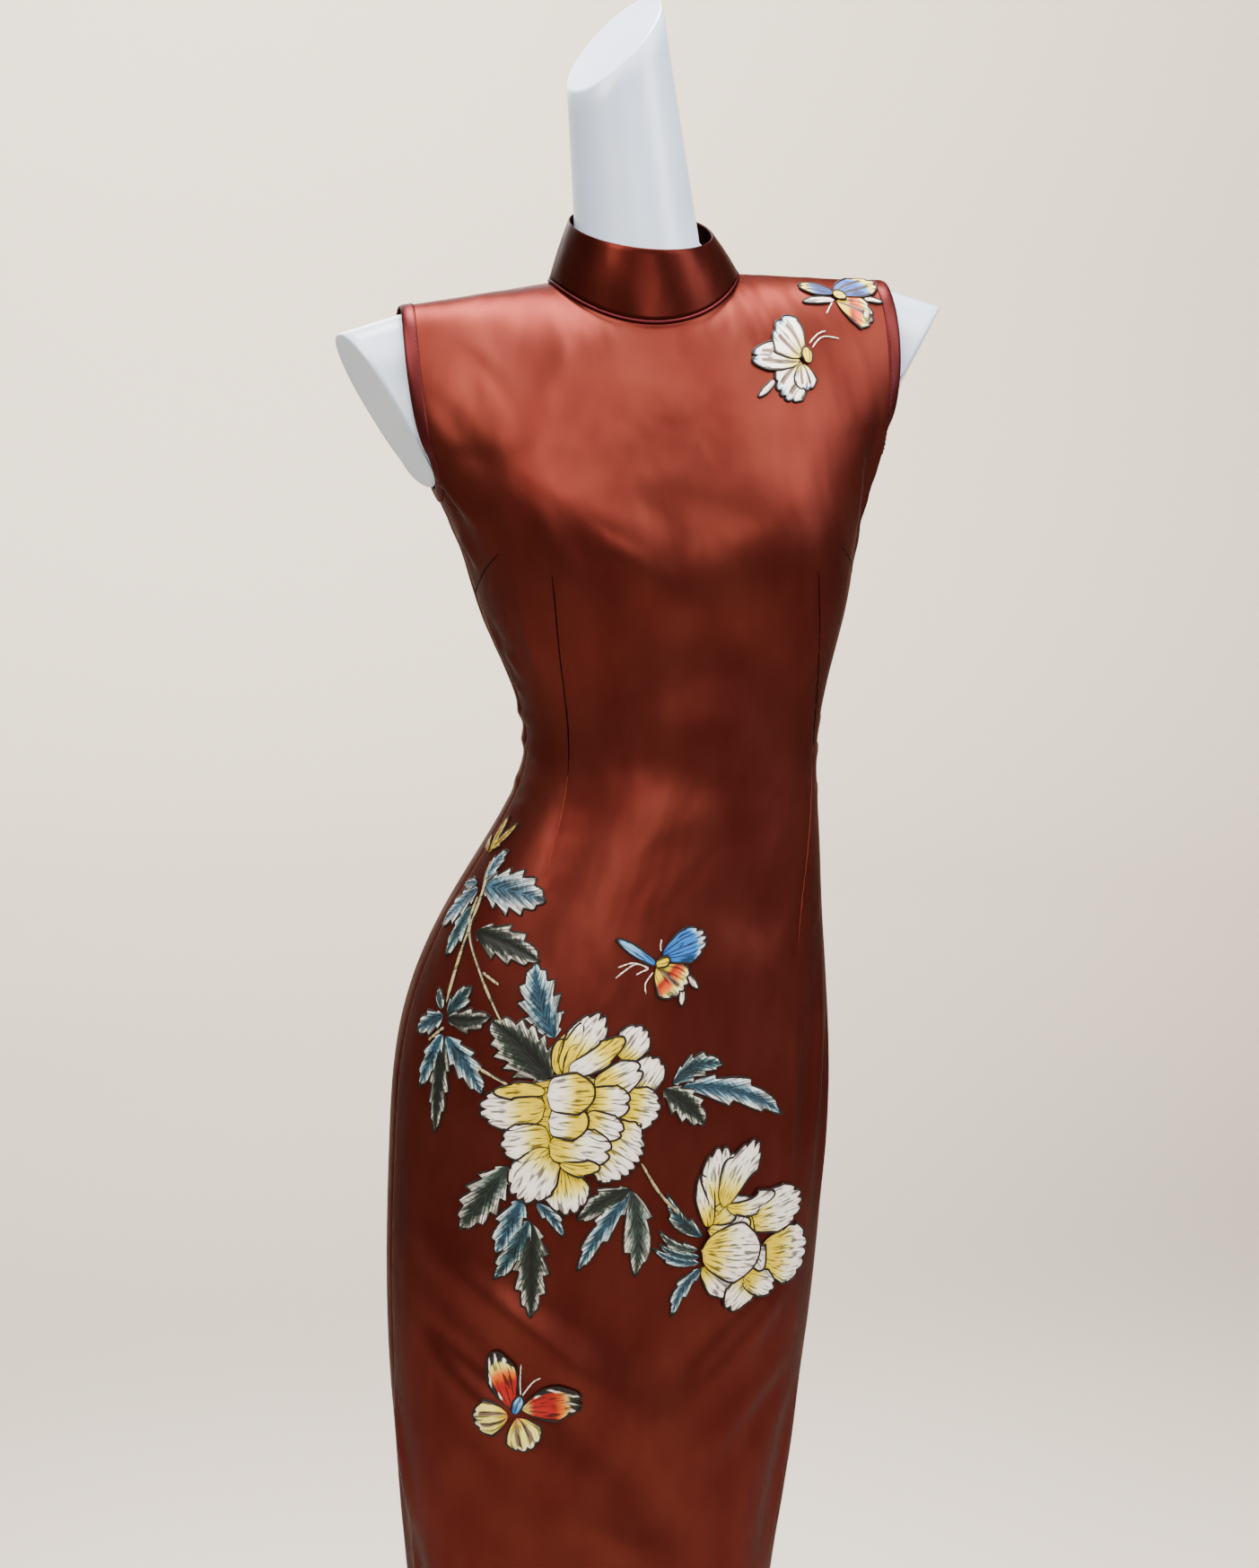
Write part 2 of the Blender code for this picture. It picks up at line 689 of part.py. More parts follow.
def cylinder(name, centre, radius, low, high, segments, mat):
    bm = bmesh.new()
    bmesh.ops.create_cone(bm, cap_ends=True, segments=segments, radius1=radius, radius2=radius,
                          depth=high - low)
    bmesh.ops.translate(bm, verts=bm.verts, vec=(centre.x, centre.y, (low + high) / 2))
    return finish(name, bm, mat)


# ---------------------------------------------------------------- the whole part


def main():
    clear_scene()
    satin = material("red_brown_satin", (0.36, 0.07, 0.045), 0.35)
    trim = material("mauve_satin_binding", (0.22, 0.06, 0.06), 0.4)
    dark = material("dark_satin_piping", (0.05, 0.015, 0.02), 0.4)
    shell = material("white_form_shell", (0.8, 0.8, 0.79), 0.35)
    steel = material("brushed_steel", (0.6, 0.6, 0.6), 0.35, 1.0)

    half = HALF_COLUMNS
    panels = [
        panel("front", "front", -half, half, 0, satin),
        panel("back_left", "back", 0, half, 1, satin),
        panel("back_right", "back", -half, 0, -1, satin),
    ]
    neck = collar(satin)
    piping(panels + [neck], dark)
    binding("armhole_binding_left", 1, panels, trim)
    binding("armhole_binding_right", -1, panels, trim)
    form_body(shell)
    middle = Vector((0, 0, 0))
    pole_top = FORM_BOTTOM * MM - SEAM
    cylinder("form_pole", middle, POLE_RADIUS, BASE_HEIGHT + SEAM, pole_top, POLE_SEGMENTS, steel)
    cylinder("form_base", middle, BASE_RADIUS, 0, BASE_HEIGHT, ROUND_SEGMENTS, steel)


main()
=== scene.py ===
"""A sleeveless satin cheongsam, embroidered with peonies and butterflies, on a limbless dress form.

Metres, +Z up. The front of the dress faces -Y and the wearer's left side is +X. The cloth is drawn on
an upright, symmetric body and then posed, from the same sizes as the part's source. Each point of a
panel also has its place on the flat cloth: how far it is along the cloth from the panel's middle line,
and its height. Creases, darts and embroidery are placed by these two.
"""

from collections import defaultdict
from math import cos, pi, radians, sin

import bmesh
import bpy
import numpy as np
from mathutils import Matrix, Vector
from mathutils.bvhtree import BVHTree


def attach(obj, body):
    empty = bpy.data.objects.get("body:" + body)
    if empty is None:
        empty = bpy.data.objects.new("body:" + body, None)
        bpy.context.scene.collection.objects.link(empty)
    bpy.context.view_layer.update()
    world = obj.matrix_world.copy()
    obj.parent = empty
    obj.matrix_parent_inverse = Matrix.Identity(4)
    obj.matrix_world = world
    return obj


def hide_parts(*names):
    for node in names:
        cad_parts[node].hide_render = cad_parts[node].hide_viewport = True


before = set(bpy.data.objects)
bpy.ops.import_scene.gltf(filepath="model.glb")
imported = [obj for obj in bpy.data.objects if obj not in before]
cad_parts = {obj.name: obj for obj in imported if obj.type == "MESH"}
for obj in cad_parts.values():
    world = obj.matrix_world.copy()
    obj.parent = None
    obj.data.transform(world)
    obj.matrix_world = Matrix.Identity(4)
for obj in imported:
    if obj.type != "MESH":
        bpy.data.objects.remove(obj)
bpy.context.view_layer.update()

MM = 0.001
ROOT = "root"

# ---------------------------------------------------------------- sizes of the cut, as in the part

WALL = 1.5 * MM  # from the cloth's inner face to its outer one in the part
CLOTH = 0.8 * MM  # of satin and its backing as it looks at the edges
SEAM = 0.3 * MM

SECTION_COLUMNS = ("height", "half_width", "front", "back")
SECTIONS = (
    (140, 143, 98, 102),  # hem
    (280, 145, 100, 105),
    (420, 155, 103, 110),  # under the knee
    (520, 168, 107, 114),
    (620, 176, 110, 118),
    (740, 178, 112, 118),  # hip
    (840, 172, 109, 112),
    (920, 153, 102, 98),
    (980, 133, 94, 84),
    (1040, 117, 88, 76),  # waist
    (1100, 124, 88, 82),
    (1160, 143, 92, 92),
    (1205, 153, 94, 98),  # bust
    (1255, 170, 93, 99),  # underarm
    (1288, 184, 90, 96),
    (1330, 194, 84, 90),
)

POSE_COLUMNS = ("height", "sway_x", "sway_y", "twist", "tilt")
POSE = (
    (0, 0, 0, 8, 0),
    (420, -3, 0, 8, 0),
    (740, 11, 0, 8, -1),
    (920, 30, 0, 7, 0),
    (1040, 58, -4, 5, 1),
    (1160, 54, -2, 2, 2),
    (1288, 46, 0, 0, 3),
    (1420, 39.5, 4, 0, 3),
    (1650, 38, 8, 0, 3),
)

SQUARENESS = 0.04  # that the sections are fuller than ellipses between front and side

# Swellings of the body and the skirt's largest folds, as in the part, in mm on the upright body.
SWELLS = (  # side, x, height, reach_x, reach_up, reach_down, depth
    ("front", 88, 1215, 86, 70, 85, 28),  # bust
    ("back", 70, 805, 75, 80, 85, 14),  # seat
    ("back", 78, 1260, 60, 60, 80, 6),  # shoulder blades
)
FOLDS = (  # side, from_x, from_z, to_x, to_z, reach, rise
    ("front", -100, 610, 30, 470, 15, 3.0),
    ("front", -70, 560, 70, 400, 18, -2.5),
    ("back", 100, 640, -20, 500, 16, 2.5),
    ("back", -110, 560, 10, 420, 16, 2.5),
)
FOLD_ENDS = 2.5  # a fold is at its full rise 1 / 2.5 of its length from each end

HEM = 140 * MM
CHEST = 1288 * MM  # where the panels' sides turn into the armholes
UNDERARM_DIP = 28 * MM  # of the armhole's lowest point under CHEST
UNDERARM_BLEND = 110 * MM  # below CHEST, over which the cloth's levels take up that dip
SLIT_TOP = 360 * MM
SLIT_HALF_GAP = 11 * MM  # half of a side slit's width at the hem
SHOULDER_TIP = (190, 4, 1400)
NECK_POINT = (71.5, 6, 1412)  # where the shoulder seam meets the collar
NECK_PIT = (0, -60, 1378)
NAPE = (0, 62, 1424)
NECKLINE_DIP = 1.5  # 1 would lay each half of the neckline in a plane
FRONT_SLOPE = (0.5, 0.87)  # the way that the cloth runs into the neckline: level and up
BACK_SLOPE = (0.62, 0.78)
ARMHOLE_SWEEP = (0.26, 0.42)  # how the cloth leans where the armhole leaves CHEST: sideways, and out
RISE_STEP = 5 * MM  # either side of CHEST, from which the cloth's way up there is taken
SHOULDER_ROLL = 115 * MM  # pull of the shoulder's top on the cloth before and behind it
YOKE_EDGE = 13 / 16  # share of a half panel's angle that runs up into the yoke
NECK_EDGE = 7 / 16  # and that ends at the neckline

COLLAR_WALL = 2 * MM
COLLAR_LIFTS = (1.6 * MM, 3.5 * MM)  # of its foot over the neckline: at pit and nape, at the sides
COLLAR_TOP = (-2, -2, 1450)  # middle of the upper edge, in mm
COLLAR_TOP_HALF_WIDTH = 54 * MM
COLLAR_TOP_HALF_DEPTH = 56 * MM
COLLAR_FORWARD_DROP = 0.32  # slope of the upper edge, down to the front
COLLAR_SIDE_DROP = 0.10  # and down to the left

# How finely the cloth is divided here.
HALF_COLUMNS = 64
BODY_ROWS = 256
YOKE_ROWS = 32
YOKE_RISE = 130 * MM  # height that the flat cloth's scale gives the yoke's rows
SETTLE_TIMES = 70
SETTLE_FROM_CHEST = 60 * MM  # over which the settling grows, above CHEST
SETTLE_FROM_TOP = 12 * MM  # and fades, below the yoke's upper edge
SEAM_FADE = 20 * MM  # over which a side seam's groove fades below the armhole
HAIR = 1e-6  # that two shares may differ by and still be one place

# ---------------------------------------------------------------- smooth tables


class Track:
    """A natural cubic spline through one column of a table, against the table's heights."""

    def __init__(self, columns, rows, name, unit=MM):
        at = columns.index(name)
        self.x = np.array([row[0] for row in rows], float) * MM
        self.y = np.array([row[at] for row in rows], float) * unit
        step = np.diff(self.x)
        slope = np.diff(self.y) / step
        system = np.eye(len(rows))
        right = np.zeros(len(rows))
        for i in range(1, len(rows) - 1):
            system[i, i - 1 : i + 2] = step[i - 1], 2 * (step[i - 1] + step[i]), step[i]
            right[i] = 6 * (slope[i] - slope[i - 1])
        self.bend = np.linalg.solve(system, right)

    def __call__(self, x):
        x = np.clip(x, self.x[0], self.x[-1])
        i = np.clip(np.searchsorted(self.x, x, "right") - 1, 0, len(self.x) - 2)
        h = self.x[i + 1] - self.x[i]
        a = (self.x[i + 1] - x) / h
        b = 1 - a
        bend = ((a**3 - a) * self.bend[i] + (b**3 - b) * self.bend[i + 1]) * h * h / 6
        return a * self.y[i] + b * self.y[i + 1] + bend


section = {name: Track(SECTION_COLUMNS, SECTIONS, name) for name in SECTION_COLUMNS[1:]}
posture = {
    name: Track(POSE_COLUMNS, POSE, name, MM if name.startswith("sway") else 1)
    for name in POSE_COLUMNS[1:]
}


def mm(*values):
    """Values in mm, in metres."""
    return np.array(values, float) * MM


def smooth(x):
    """0 below 0, 1 above 1, and a soft rise between."""
    x = np.clip(x, 0.0, 1.0)
    return x * x * (3 - 2 * x)


def vectors(x, y, z):
    """Vectors from their three parts, each a number or a grid of them."""
    return np.stack(np.broadcast_arrays(x, y, z), axis=-1).astype(float)


def unit(v):
    """Vectors brought to length 1."""
    return v / np.linalg.norm(v, axis=-1, keepdims=True)


def pose(p):
    """Points of the upright body, where the posed body has them."""
    x, y, z = p[..., 0], p[..., 1], p[..., 2]
    turn = np.radians(posture["twist"](z))
    turned_x = x * np.cos(turn) - y * np.sin(turn)
    turned_y = x * np.sin(turn) + y * np.cos(turn)
    lift = x * np.tan(np.radians(posture["tilt"](z)))
    return vectors(turned_x + posture["sway_x"](z), turned_y + posture["sway_y"](z), z + lift)


# ---------------------------------------------------------------- the cloth's inner face


def away(side):
    """The way along Y from the body's axis to this side of the dress."""
    return -1 if side == "front" else 1


def level_point(side, s, z):
    """Points of the body's levels z. s runs from -1 to 1, from the right seam to the left one."""
    angle = s * pi / 2
    fuller = 1 + SQUARENESS * np.sin(2 * angle) ** 2
    x = section["half_width"](z) * np.sin(angle) * fuller
    y = away(side) * section[side](z) * np.cos(angle) * fuller
    return vectors(x, y, z)


def underarm_dip(s, z):
    """How far the cloth's levels sink toward the side seams, to leave the armhole round."""
    along = np.clip((np.abs(s) - YOKE_EDGE) / (1 - YOKE_EDGE), 0, 1)
    curve = np.sqrt(1 - (1 - along) ** 2)
    return UNDERARM_DIP * curve * smooth(1 + (z - CHEST) / UNDERARM_BLEND)


def slit(side, z):
    """The share of a level's angle that the side slits leave to the panel."""
    open_share = np.maximum(0, (SLIT_TOP - z) / (SLIT_TOP - HEM))
    return 1 - SLIT_HALF_GAP * open_share / (section[side](z) * pi / 2)


def body_point(side, s, z):
    """Points of a panel below CHEST, with its slit and its dip under the arm."""
    return level_point(side, s * slit(side, z), z - underarm_dip(s, z))


def yoke_top(side, s):
    """The yoke's upper edge, neckline then shoulder seam, and the cloth's direction there."""
    mirror = vectors(np.where(s < 0, -1, 1), 1, 1)
    neck_point = mm(*NECK_POINT)
    over = np.array([0.0, -away(side), 0.0])
    along = ((np.abs(s) - NECK_EDGE) / (YOKE_EDGE - NECK_EDGE))[..., None]
    shoulder = neck_point + (mm(*SHOULDER_TIP) - neck_point) * along
    middle = mm(*(NECK_PIT if side == "front" else NAPE))
    lean_y, lean_z = FRONT_SLOPE if side == "front" else BACK_SLOPE
    angle = np.minimum(np.abs(s) / NECK_EDGE, 1) * pi / 2
    neckline = vectors(
        neck_point[0] * np.sin(angle),
        neck_point[1] + (middle[1] - neck_point[1]) * np.cos(angle),
        neck_point[2] + (middle[2] - neck_point[2]) * np.abs(np.cos(angle)) ** NECKLINE_DIP,
    )
    share = (np.minimum(np.abs(s) / NECK_EDGE, 1) ** 2)[..., None]
    lean = np.array([0.0, -away(side) * lean_y, lean_z]) * (1 - share) + over * share
    beyond = (np.abs(s) >= NECK_EDGE)[..., None]
    top = np.where(beyond, shoulder, neckline) * mirror
    return top, np.where(beyond, over, unit(lean)) * SHOULDER_ROLL


def yoke_point(side, s, u):
    """Points of the yoke: u runs from 0 at CHEST to 1 at the yoke's upper edge."""
    low = body_point(side, s, CHEST)
    top, top_pull = yoke_top(side, s)
    rise = level_point(side, s, CHEST + RISE_STEP) - level_point(side, s, CHEST - RISE_STEP)
    sideways = (np.abs(s) / YOKE_EDGE) ** 4
    mirror = np.where(s < 0, -1, 1)
    sweep = vectors(mirror * ARMHOLE_SWEEP[0] * sideways, away(side) * ARMHOLE_SWEEP[1] * sideways, 0)
    reach = np.linalg.norm(top - low, axis=-1, keepdims=True)
    low_pull = (rise / (2 * RISE_STEP) + sweep) * reach
    u = np.asarray(u, float)[..., None]
    a = 2 * u**3 - 3 * u**2 + 1
    b = u**3 - 2 * u**2 + u
    return low * a + low_pull * b + top * (1 - a) + top_pull * (u**3 - u**2)


def swell(side, s, p):
    """How far the body's swellings and the largest folds push the cloth out at p."""
    x, z = p[..., 0] / MM, p[..., 2] / MM
    out = np.zeros_like(x)
    for place, middle, height, reach_x, reach_up, reach_down, depth in SWELLS:
        if place == side:
            rise = (z - height) / np.where(z > height, reach_up, reach_down)
            for centre in (-middle, middle):
                out += depth * np.exp(-(((x - centre) / reach_x) ** 2) - rise**2)
    for place, from_x, from_z, to_x, to_z, reach, rise in FOLDS:
        if place == side:
            run = np.array([to_x - from_x, to_z - from_z], float)
            along = ((x - from_x) * run[0] + (z - from_z) * run[1]) / (run @ run)
            across = ((x - from_x) * run[1] - (z - from_z) * run[0]) / np.sqrt(run @ run)
            ends = smooth(FOLD_ENDS * along) * smooth(FOLD_ENDS * (1 - along))
            out += rise * ends * np.exp(-((across / reach) ** 2))
    return vectors(0, away(side) * out * MM * (1 - s**4), 0)


def cloth_inner(side, s, h):
    """Points of the posed cloth's inner face. Above CHEST, h counts on through the yoke."""
    s, h = np.broadcast_arrays(np.asarray(s, float), np.asarray(h, float))
    body = body_point(side, s, np.minimum(h, CHEST))
    yoke = yoke_point(side, s, np.clip((h - CHEST) / YOKE_RISE, 0, 1))
    flat = np.where((h > CHEST)[..., None], yoke, body)
    return pose(flat + swell(side, s, flat))


# ---------------------------------------------------------------- creases, seams and darts

# Creases, in mm on the flat cloth: along from the middle line and height of the two
# ends, how far the crease bows to its left, its half-width and how far it stands out.
CREASES = (  # side, from_a, from_h, to_a, to_h, bow, reach, rise
    ("front", -205, 692, 50, 482, 8, 18, 7.5),  # drapes that swing from the hip across the skirt
    ("front", -190, 622, -96, 540, 2, 10, -3.6),
    ("front", -165, 588, -40, 468, 2, 15, 4.6),
    ("front", -60, 470, 60, 380, -5, 16, 4.0),
    ("front", -236, 572, -186, 385, 0, 9, 4.0),
    ("front", -205, 470, -165, 250, 3, 11, -3.0),
    ("front", 150, 640, 10, 500, -6, 15, 4.4),
    ("front", 160, 560, 50, 440, -6, 15, -3.5),
    ("front", 30, 420, 20, 230, 5, 26, 4.0),
    ("front", 162, 895, 158, 700, 0, 7, 2.6),  # folds down the left hip
    ("front", 138, 880, 136, 690, 2, 9, -2.1),
    ("front", 188, 860, 178, 640, 0, 7, 2.7),
    ("front", 176, 560, 150, 330, -4, 12, 4.0),
    ("front", 60, 330, 150, 190, 6, 15, 3.0),
    ("front", -120, 400, -100, 240, -4, 16, -4.0),
    ("front", -188, 1086, -138, 1080, -3, 5, 1.6),  # short wrinkles in the bend of the waist
    ("front", -186, 1056, -124, 1046, 3, 4, 1.7),
    ("front", -178, 1030, -116, 1026, -2, 5, 1.6),
    ("front", -182, 1112, -150, 1098, 2, 5, 1.5),
    ("front", -180, 1005, -130, 1012, 0, 5, 1.3),
    ("front", -178, 1140, -146, 1110, 3, 5, 1.7),
    ("front", -190, 1166, -158, 1126, -2, 6, -1.6),
    ("front", -140, 1178, -126, 1110, 2, 6, 1.4),
    ("front", 176, 1078, 128, 1064, 2, 5, 1.6),
    ("front", 172, 1046, 122, 1040, -2, 4, 1.7),
    ("front", 176, 1018, 132, 1010, 0, 6, 1.3),
    ("front", -60, 1150, 80, 1128, 0, 34, -3.0),  # soft hollows and swellings under the bust and waist
    ("front", -80, 1080, 70, 1060, 5, 26, 2.4),
    ("front", 20, 960, 110, 900, -6, 24, -2.6),
    ("front", -60, 1004, 70, 1022, -5, 17, 0.6),
    ("front", -112, 1292, 44, 1124, -8, 17, 3.2),  # a sweep of light from the bust to the middle
    ("front", -50, 1262, 44, 1210, -4, 17, -2.2),
    ("front", -128, 1262, -104, 1120, 4, 14, -3.0),
    ("front", -192, 1345, -138, 1250, 3, 13, -3.0),  # slack between the armholes and the bust
    ("front", -172, 1368, -106, 1288, 5, 13, 2.6),
    ("front", -214, 1290, -158, 1222, 0, 8, 3.2),
    ("front", -226, 1250, -180, 1196, 2, 6, 2.4),
    ("front", 183, 1316, 208, 1206, 0, 8, 3.0),
    ("front", 160, 1300, 188, 1196, 3, 9, -2.8),
    ("front", 200, 1240, 168, 1186, 0, 5, 2.0),
    ("front", -78, 1378, -92, 1306, 2, 10, 1.6),
    ("front", 66, 1376, 92, 1312, -2, 9, 1.4),
    ("back", 186, 1086, 120, 1074, 3, 5, 1.9),
    ("back", 188, 1052, 104, 1048, -3, 6, 1.8),
    ("back", 180, 1022, 112, 1020, 2, 5, 1.5),
    ("back", 168, 1116, 118, 1100, 0, 6, 1.5),
    ("back", -186, 1092, -116, 1078, -3, 5, 1.9),
    ("back", -184, 1060, -100, 1052, 3, 6, 1.7),
    ("back", -182, 1030, -120, 1024, 0, 5, 1.4),
    ("back", 196, 1340, 128, 1262, 4, 12, -3.0),
    ("back", -196, 1336, -134, 1258, -4, 12, -2.9),
    ("back", 212, 1268, 164, 1206, 0, 7, 2.4),
    ("back", -210, 1262, -168, 1204, 0, 7, 2.3),
    ("back", 150, 730, 60, 600, 5, 14, 3.4),
    ("back", -160, 700, -70, 585, -4, 13, 3.2),
    ("back", 190, 560, 168, 300, 3, 11, 3.4),
    ("back", -196, 520, -164, 280, -3, 12, 3.2),
    ("back", 40, 470, 110, 250, 6, 16, 3.0),
    ("back", -90, 440, -40, 230, -5, 15, 2.8),
)

# Darts sewn into the cloth, as places along and up in mm. The last value is the share of the dart above
# which its seam is pulled in, and a dark cord paints its shade; below it, a lighter cord paints the
# highlight that the seam's pressed edge catches.
DARTS = (
    ("front", ((-109, 1198), (-105, 1048), (-108, 962)), 0.55),  # from the bust to the hip
    ("front", ((101, 1190), (113, 1036), (119, 890)), 0.45),
    ("front", ((-232, 1166), (-190, 1192), (-154, 1214)), 1),  # from the side seam to the bust
    ("front", ((222, 1158), (174, 1182), (130, 1206)), 1),
    ("back", ((92, 1165), (84, 1040), (92, 905)), 0.5),
    ("back", ((-92, 1165), (-84, 1040), (-92, 905)), 0.5),
)
DART_DEPTH = 0.7  # share of a seam's groove and puckers
DART_STEPS = 24  # between one place of a dart and the next

CREASE_ENDS = 2.2  # a crease is at its full rise 1 / 2.2 of its length from each end
CREASE_WIDTHS = (0.65, 0.7)  # share of its reach where it starts, and how much it gains up to its end
TROUGH_PLACE = 1.7  # widths beside the crease, where a trough runs along it
TROUGH_DEPTH = 0.45  # of the crease's rise

SEAM_GROOVE = 0.9 * MM
SEAM_REACH = 2.6 * MM
PUCKER_RISE = 0.35 * MM  # of the uneven ripples that run into each seam
PUCKER_REACH = 11 * MM
PUCKER_LENGTHS = (17 * MM, 29 * MM, 47 * MM)


def crease_rise(side, a, h):
    """How far the hand-placed creases lift the cloth at a along and h up."""
    out = np.zeros(np.broadcast(a, h).shape)
    for place, from_a, from_h, to_a, to_h, bow, reach, rise in CREASES:
        if place != side:
            continue
        run = np.array([to_a - from_a, to_h - from_h], float)
        length = np.sqrt(run @ run)
        gone_a, gone_h = a / MM - from_a, h / MM - from_h
        along = (gone_a * run[0] + gone_h * run[1]) / length**2
        across = (gone_h * run[0] - gone_a * run[1]) / length
        across = across - bow * 4 * along * (1 - along)
        ends = smooth(CREASE_ENDS * along) * smooth(CREASE_ENDS * (1 - along))
        width = reach * (CREASE_WIDTHS[0] + CREASE_WIDTHS[1] * np.clip(along, 0, 1))
        ridge = np.exp(-((across / width) ** 2))
        trough = np.exp(-(((across + TROUGH_PLACE * width) / width) ** 2))
        out += rise * ends * (ridge - TROUGH_DEPTH * trough)
    return out * MM


def seam_shape(distance, run):
    """The cloth's rise near a seam: a groove at it, and uneven puckers that die out beside it."""
    groove = -SEAM_GROOVE * np.exp(-((distance / SEAM_REACH) ** 2))
    waves = sum(
        np.sin(2 * pi * run / length + 3 * np.sin(run / (0.9 * length) + i))
        for i, length in enumerate(PUCKER_LENGTHS)
    )
    near = np.exp(-distance / PUCKER_REACH) * smooth(distance / (2 * SEAM_REACH))
    return groove + PUCKER_RISE * waves / len(PUCKER_LENGTHS) * near


def spline_through(places, steps=8):
    """A smooth line through a few places, as one point for every short step."""
    p = np.array([places[0], *places, places[-1]], float)
    line = []
    for i in range(1, len(p) - 2):
        for t in np.arange(steps) / steps:
            line.append(0.5 * (2 * p[i] + (p[i + 1] - p[i - 1]) * t
                               + (2 * p[i - 1] - 5 * p[i] + 4 * p[i + 1] - p[i + 2]) * t**2
                               + (3 * p[i] - p[i - 1] - 3 * p[i + 1] + p[i + 2]) * t**3))
    return np.array(line + [p[-1]])


def dart_shape(side, a, h):
    """The grooves and puckers of the darts."""
    rise = np.zeros(a.shape)
    for place, line, _ in DARTS:
        if place == side:
            path = spline_through(line, DART_STEPS) * MM
            away_from = np.stack([np.hypot(a - x, h - z) for x, z in path])
            nearest = away_from.min(axis=0)
            along = path[away_from.argmin(axis=0)].sum(axis=-1)
            rise += DART_DEPTH * seam_shape(nearest, along)
    return rise


# ---------------------------------------------------------------- panels as fine grids


class Panel:
    """One side of the dress as a fine grid of points on the cloth's outer face."""

    def __init__(self, side, first, last):
        self.side = side
        columns = np.arange(first, last + 1)
        self.s = columns / HALF_COLUMNS
        body = np.linspace(HEM, CHEST, BODY_ROWS + 1)
        yoke = np.linspace(CHEST, CHEST + YOKE_RISE, YOKE_ROWS + 1)[1:]
        self.h = np.concatenate([body, yoke])
        s, h = np.meshgrid(self.s, self.h)
        inner = self.settle(cloth_inner(side, s, h))
        self.inner = inner
        steps = np.linalg.norm(np.diff(inner, axis=1), axis=-1)
        along = np.concatenate([np.zeros((len(self.h), 1)), np.cumsum(steps, axis=1)], axis=1)
        middle = np.argmin(np.abs(columns))
        self.a = along - along[:, middle : middle + 1]
        self.kept = (h <= CHEST + MM / 2) | (np.abs(s) <= YOKE_EDGE + HAIR)
        rise = crease_rise(side, self.a, h) + dart_shape(side, self.a, h)
        for end in (0, -1):
            distance = np.abs(self.a - self.a[:, [end]])
            below_armhole = smooth((CHEST - h) / SEAM_FADE) if self.s[end] else 1
            rise += seam_shape(distance, h) * below_armhole
        shoulder = np.linalg.norm(inner - inner[-1:, :], axis=-1)
        on_shoulder = smooth((np.abs(s) - NECK_EDGE) * HALF_COLUMNS) * (h > CHEST)
        rise += seam_shape(shoulder, self.a) * on_shoulder
        self.points = inner + self.normals(inner) * (WALL + rise)[..., None]
        self.normal = self.normals(self.points)

    def settle(self, points):
        """Lets the tight cloth of the yoke smooth itself below its fixed upper edge."""
        free = smooth((self.h - CHEST) / SETTLE_FROM_CHEST)
        free = free * smooth((CHEST + YOKE_RISE - self.h) / SETTLE_FROM_TOP)
        free = (free / 2)[:, None, None]
        for _ in range(SETTLE_TIMES):
            middle = (points[:, :-2] + points[:, 2:]) / 2
            points[:, 1:-1] += (middle - points[:, 1:-1]) * free
        return points

    def normals(self, points):
        """The way out of the cloth at each point of the grid, from the kept points beside it."""
        across = np.gradient(points, axis=1)
        up = np.gradient(points, axis=0)
        cut_off = np.abs(self.s) > YOKE_EDGE + HAIR
        up[BODY_ROWS, cut_off] = points[BODY_ROWS, cut_off] - points[BODY_ROWS - 1, cut_off]
        for column in np.flatnonzero(np.isclose(np.abs(self.s), YOKE_EDGE)):
            to_left = int(np.sign(self.s[column]))
            step = points[BODY_ROWS + 1 :, column] - points[BODY_ROWS + 1 :, column - to_left]
            across[BODY_ROWS + 1 :, column] = step * to_left
        return unit(np.cross(across, up)) * (1 if self.side == "front" else -1)

    def at(self, a, h, lift=0.0):
        """Points at a along and h up the cloth, lifted off its outer face."""
        a, h = np.broadcast_arrays(np.asarray(a, float), np.asarray(h, float))
        row = np.interp(h, self.h, np.arange(len(self.h)))
        low = np.clip(row.astype(int), 0, len(self.h) - 2)
        share = (row - low)[..., None]
        places = []
        for i in (low, low + 1):
            column = np.clip((self.a[i] <= a[..., None]).sum(-1) - 1, 0, len(self.s) - 2)
            left, right = self.a[i, column], self.a[i, column + 1]
            part = ((a - left) / (right - left))[..., None]
            place = self.points[i, column] * (1 - part) + self.points[i, column + 1] * part
            way = self.normal[i, column] * (1 - part) + self.normal[i, column + 1] * part
            places.append((place, way))
        place = places[0][0] * (1 - share) + places[1][0] * share
        way = unit(places[0][1] * (1 - share) + places[1][1] * share)
        return place + way * np.asarray(lift, float)[..., None]


# ---------------------------------------------------------------- helpers for meshes


def grid_faces(count_rows, count_columns, closed_rows=False, closed_columns=False):
    """Quads over a grid of points that are numbered row by row."""
    faces = []
    for r in range(count_rows if closed_rows else count_rows - 1):
        for c in range(count_columns if closed_columns else count_columns - 1):
            r1, c1 = (r + 1) % count_rows, (c + 1) % count_columns
            faces.append((r * count_columns + c, r * count_columns + c1,
                          r1 * count_columns + c1, r1 * count_columns + c))
    return faces


def outward_quads(side, kept):
    """The quads of a panel's grid that have all their points, wound to face out of the cloth."""
    there = kept.ravel()
    quads = [quad for quad in grid_faces(*kept.shape) if all(there[i] for i in quad)]
    return quads if side == "front" else [quad[::-1] for quad in quads]


def tube_faces(count_rings, sides):
    """The quads of a tube of rings, and a cap on each end."""
    last = (count_rings - 1) * sides
    caps = [tuple(range(sides))[::-1], tuple(last + i for i in range(sides))]
    return grid_faces(count_rings, sides, closed_columns=True) + caps


def arc_lengths(path):
    """How far along a path each of its points is."""
    return np.concatenate([[0], np.cumsum(np.linalg.norm(np.diff(path, axis=0), axis=-1))])


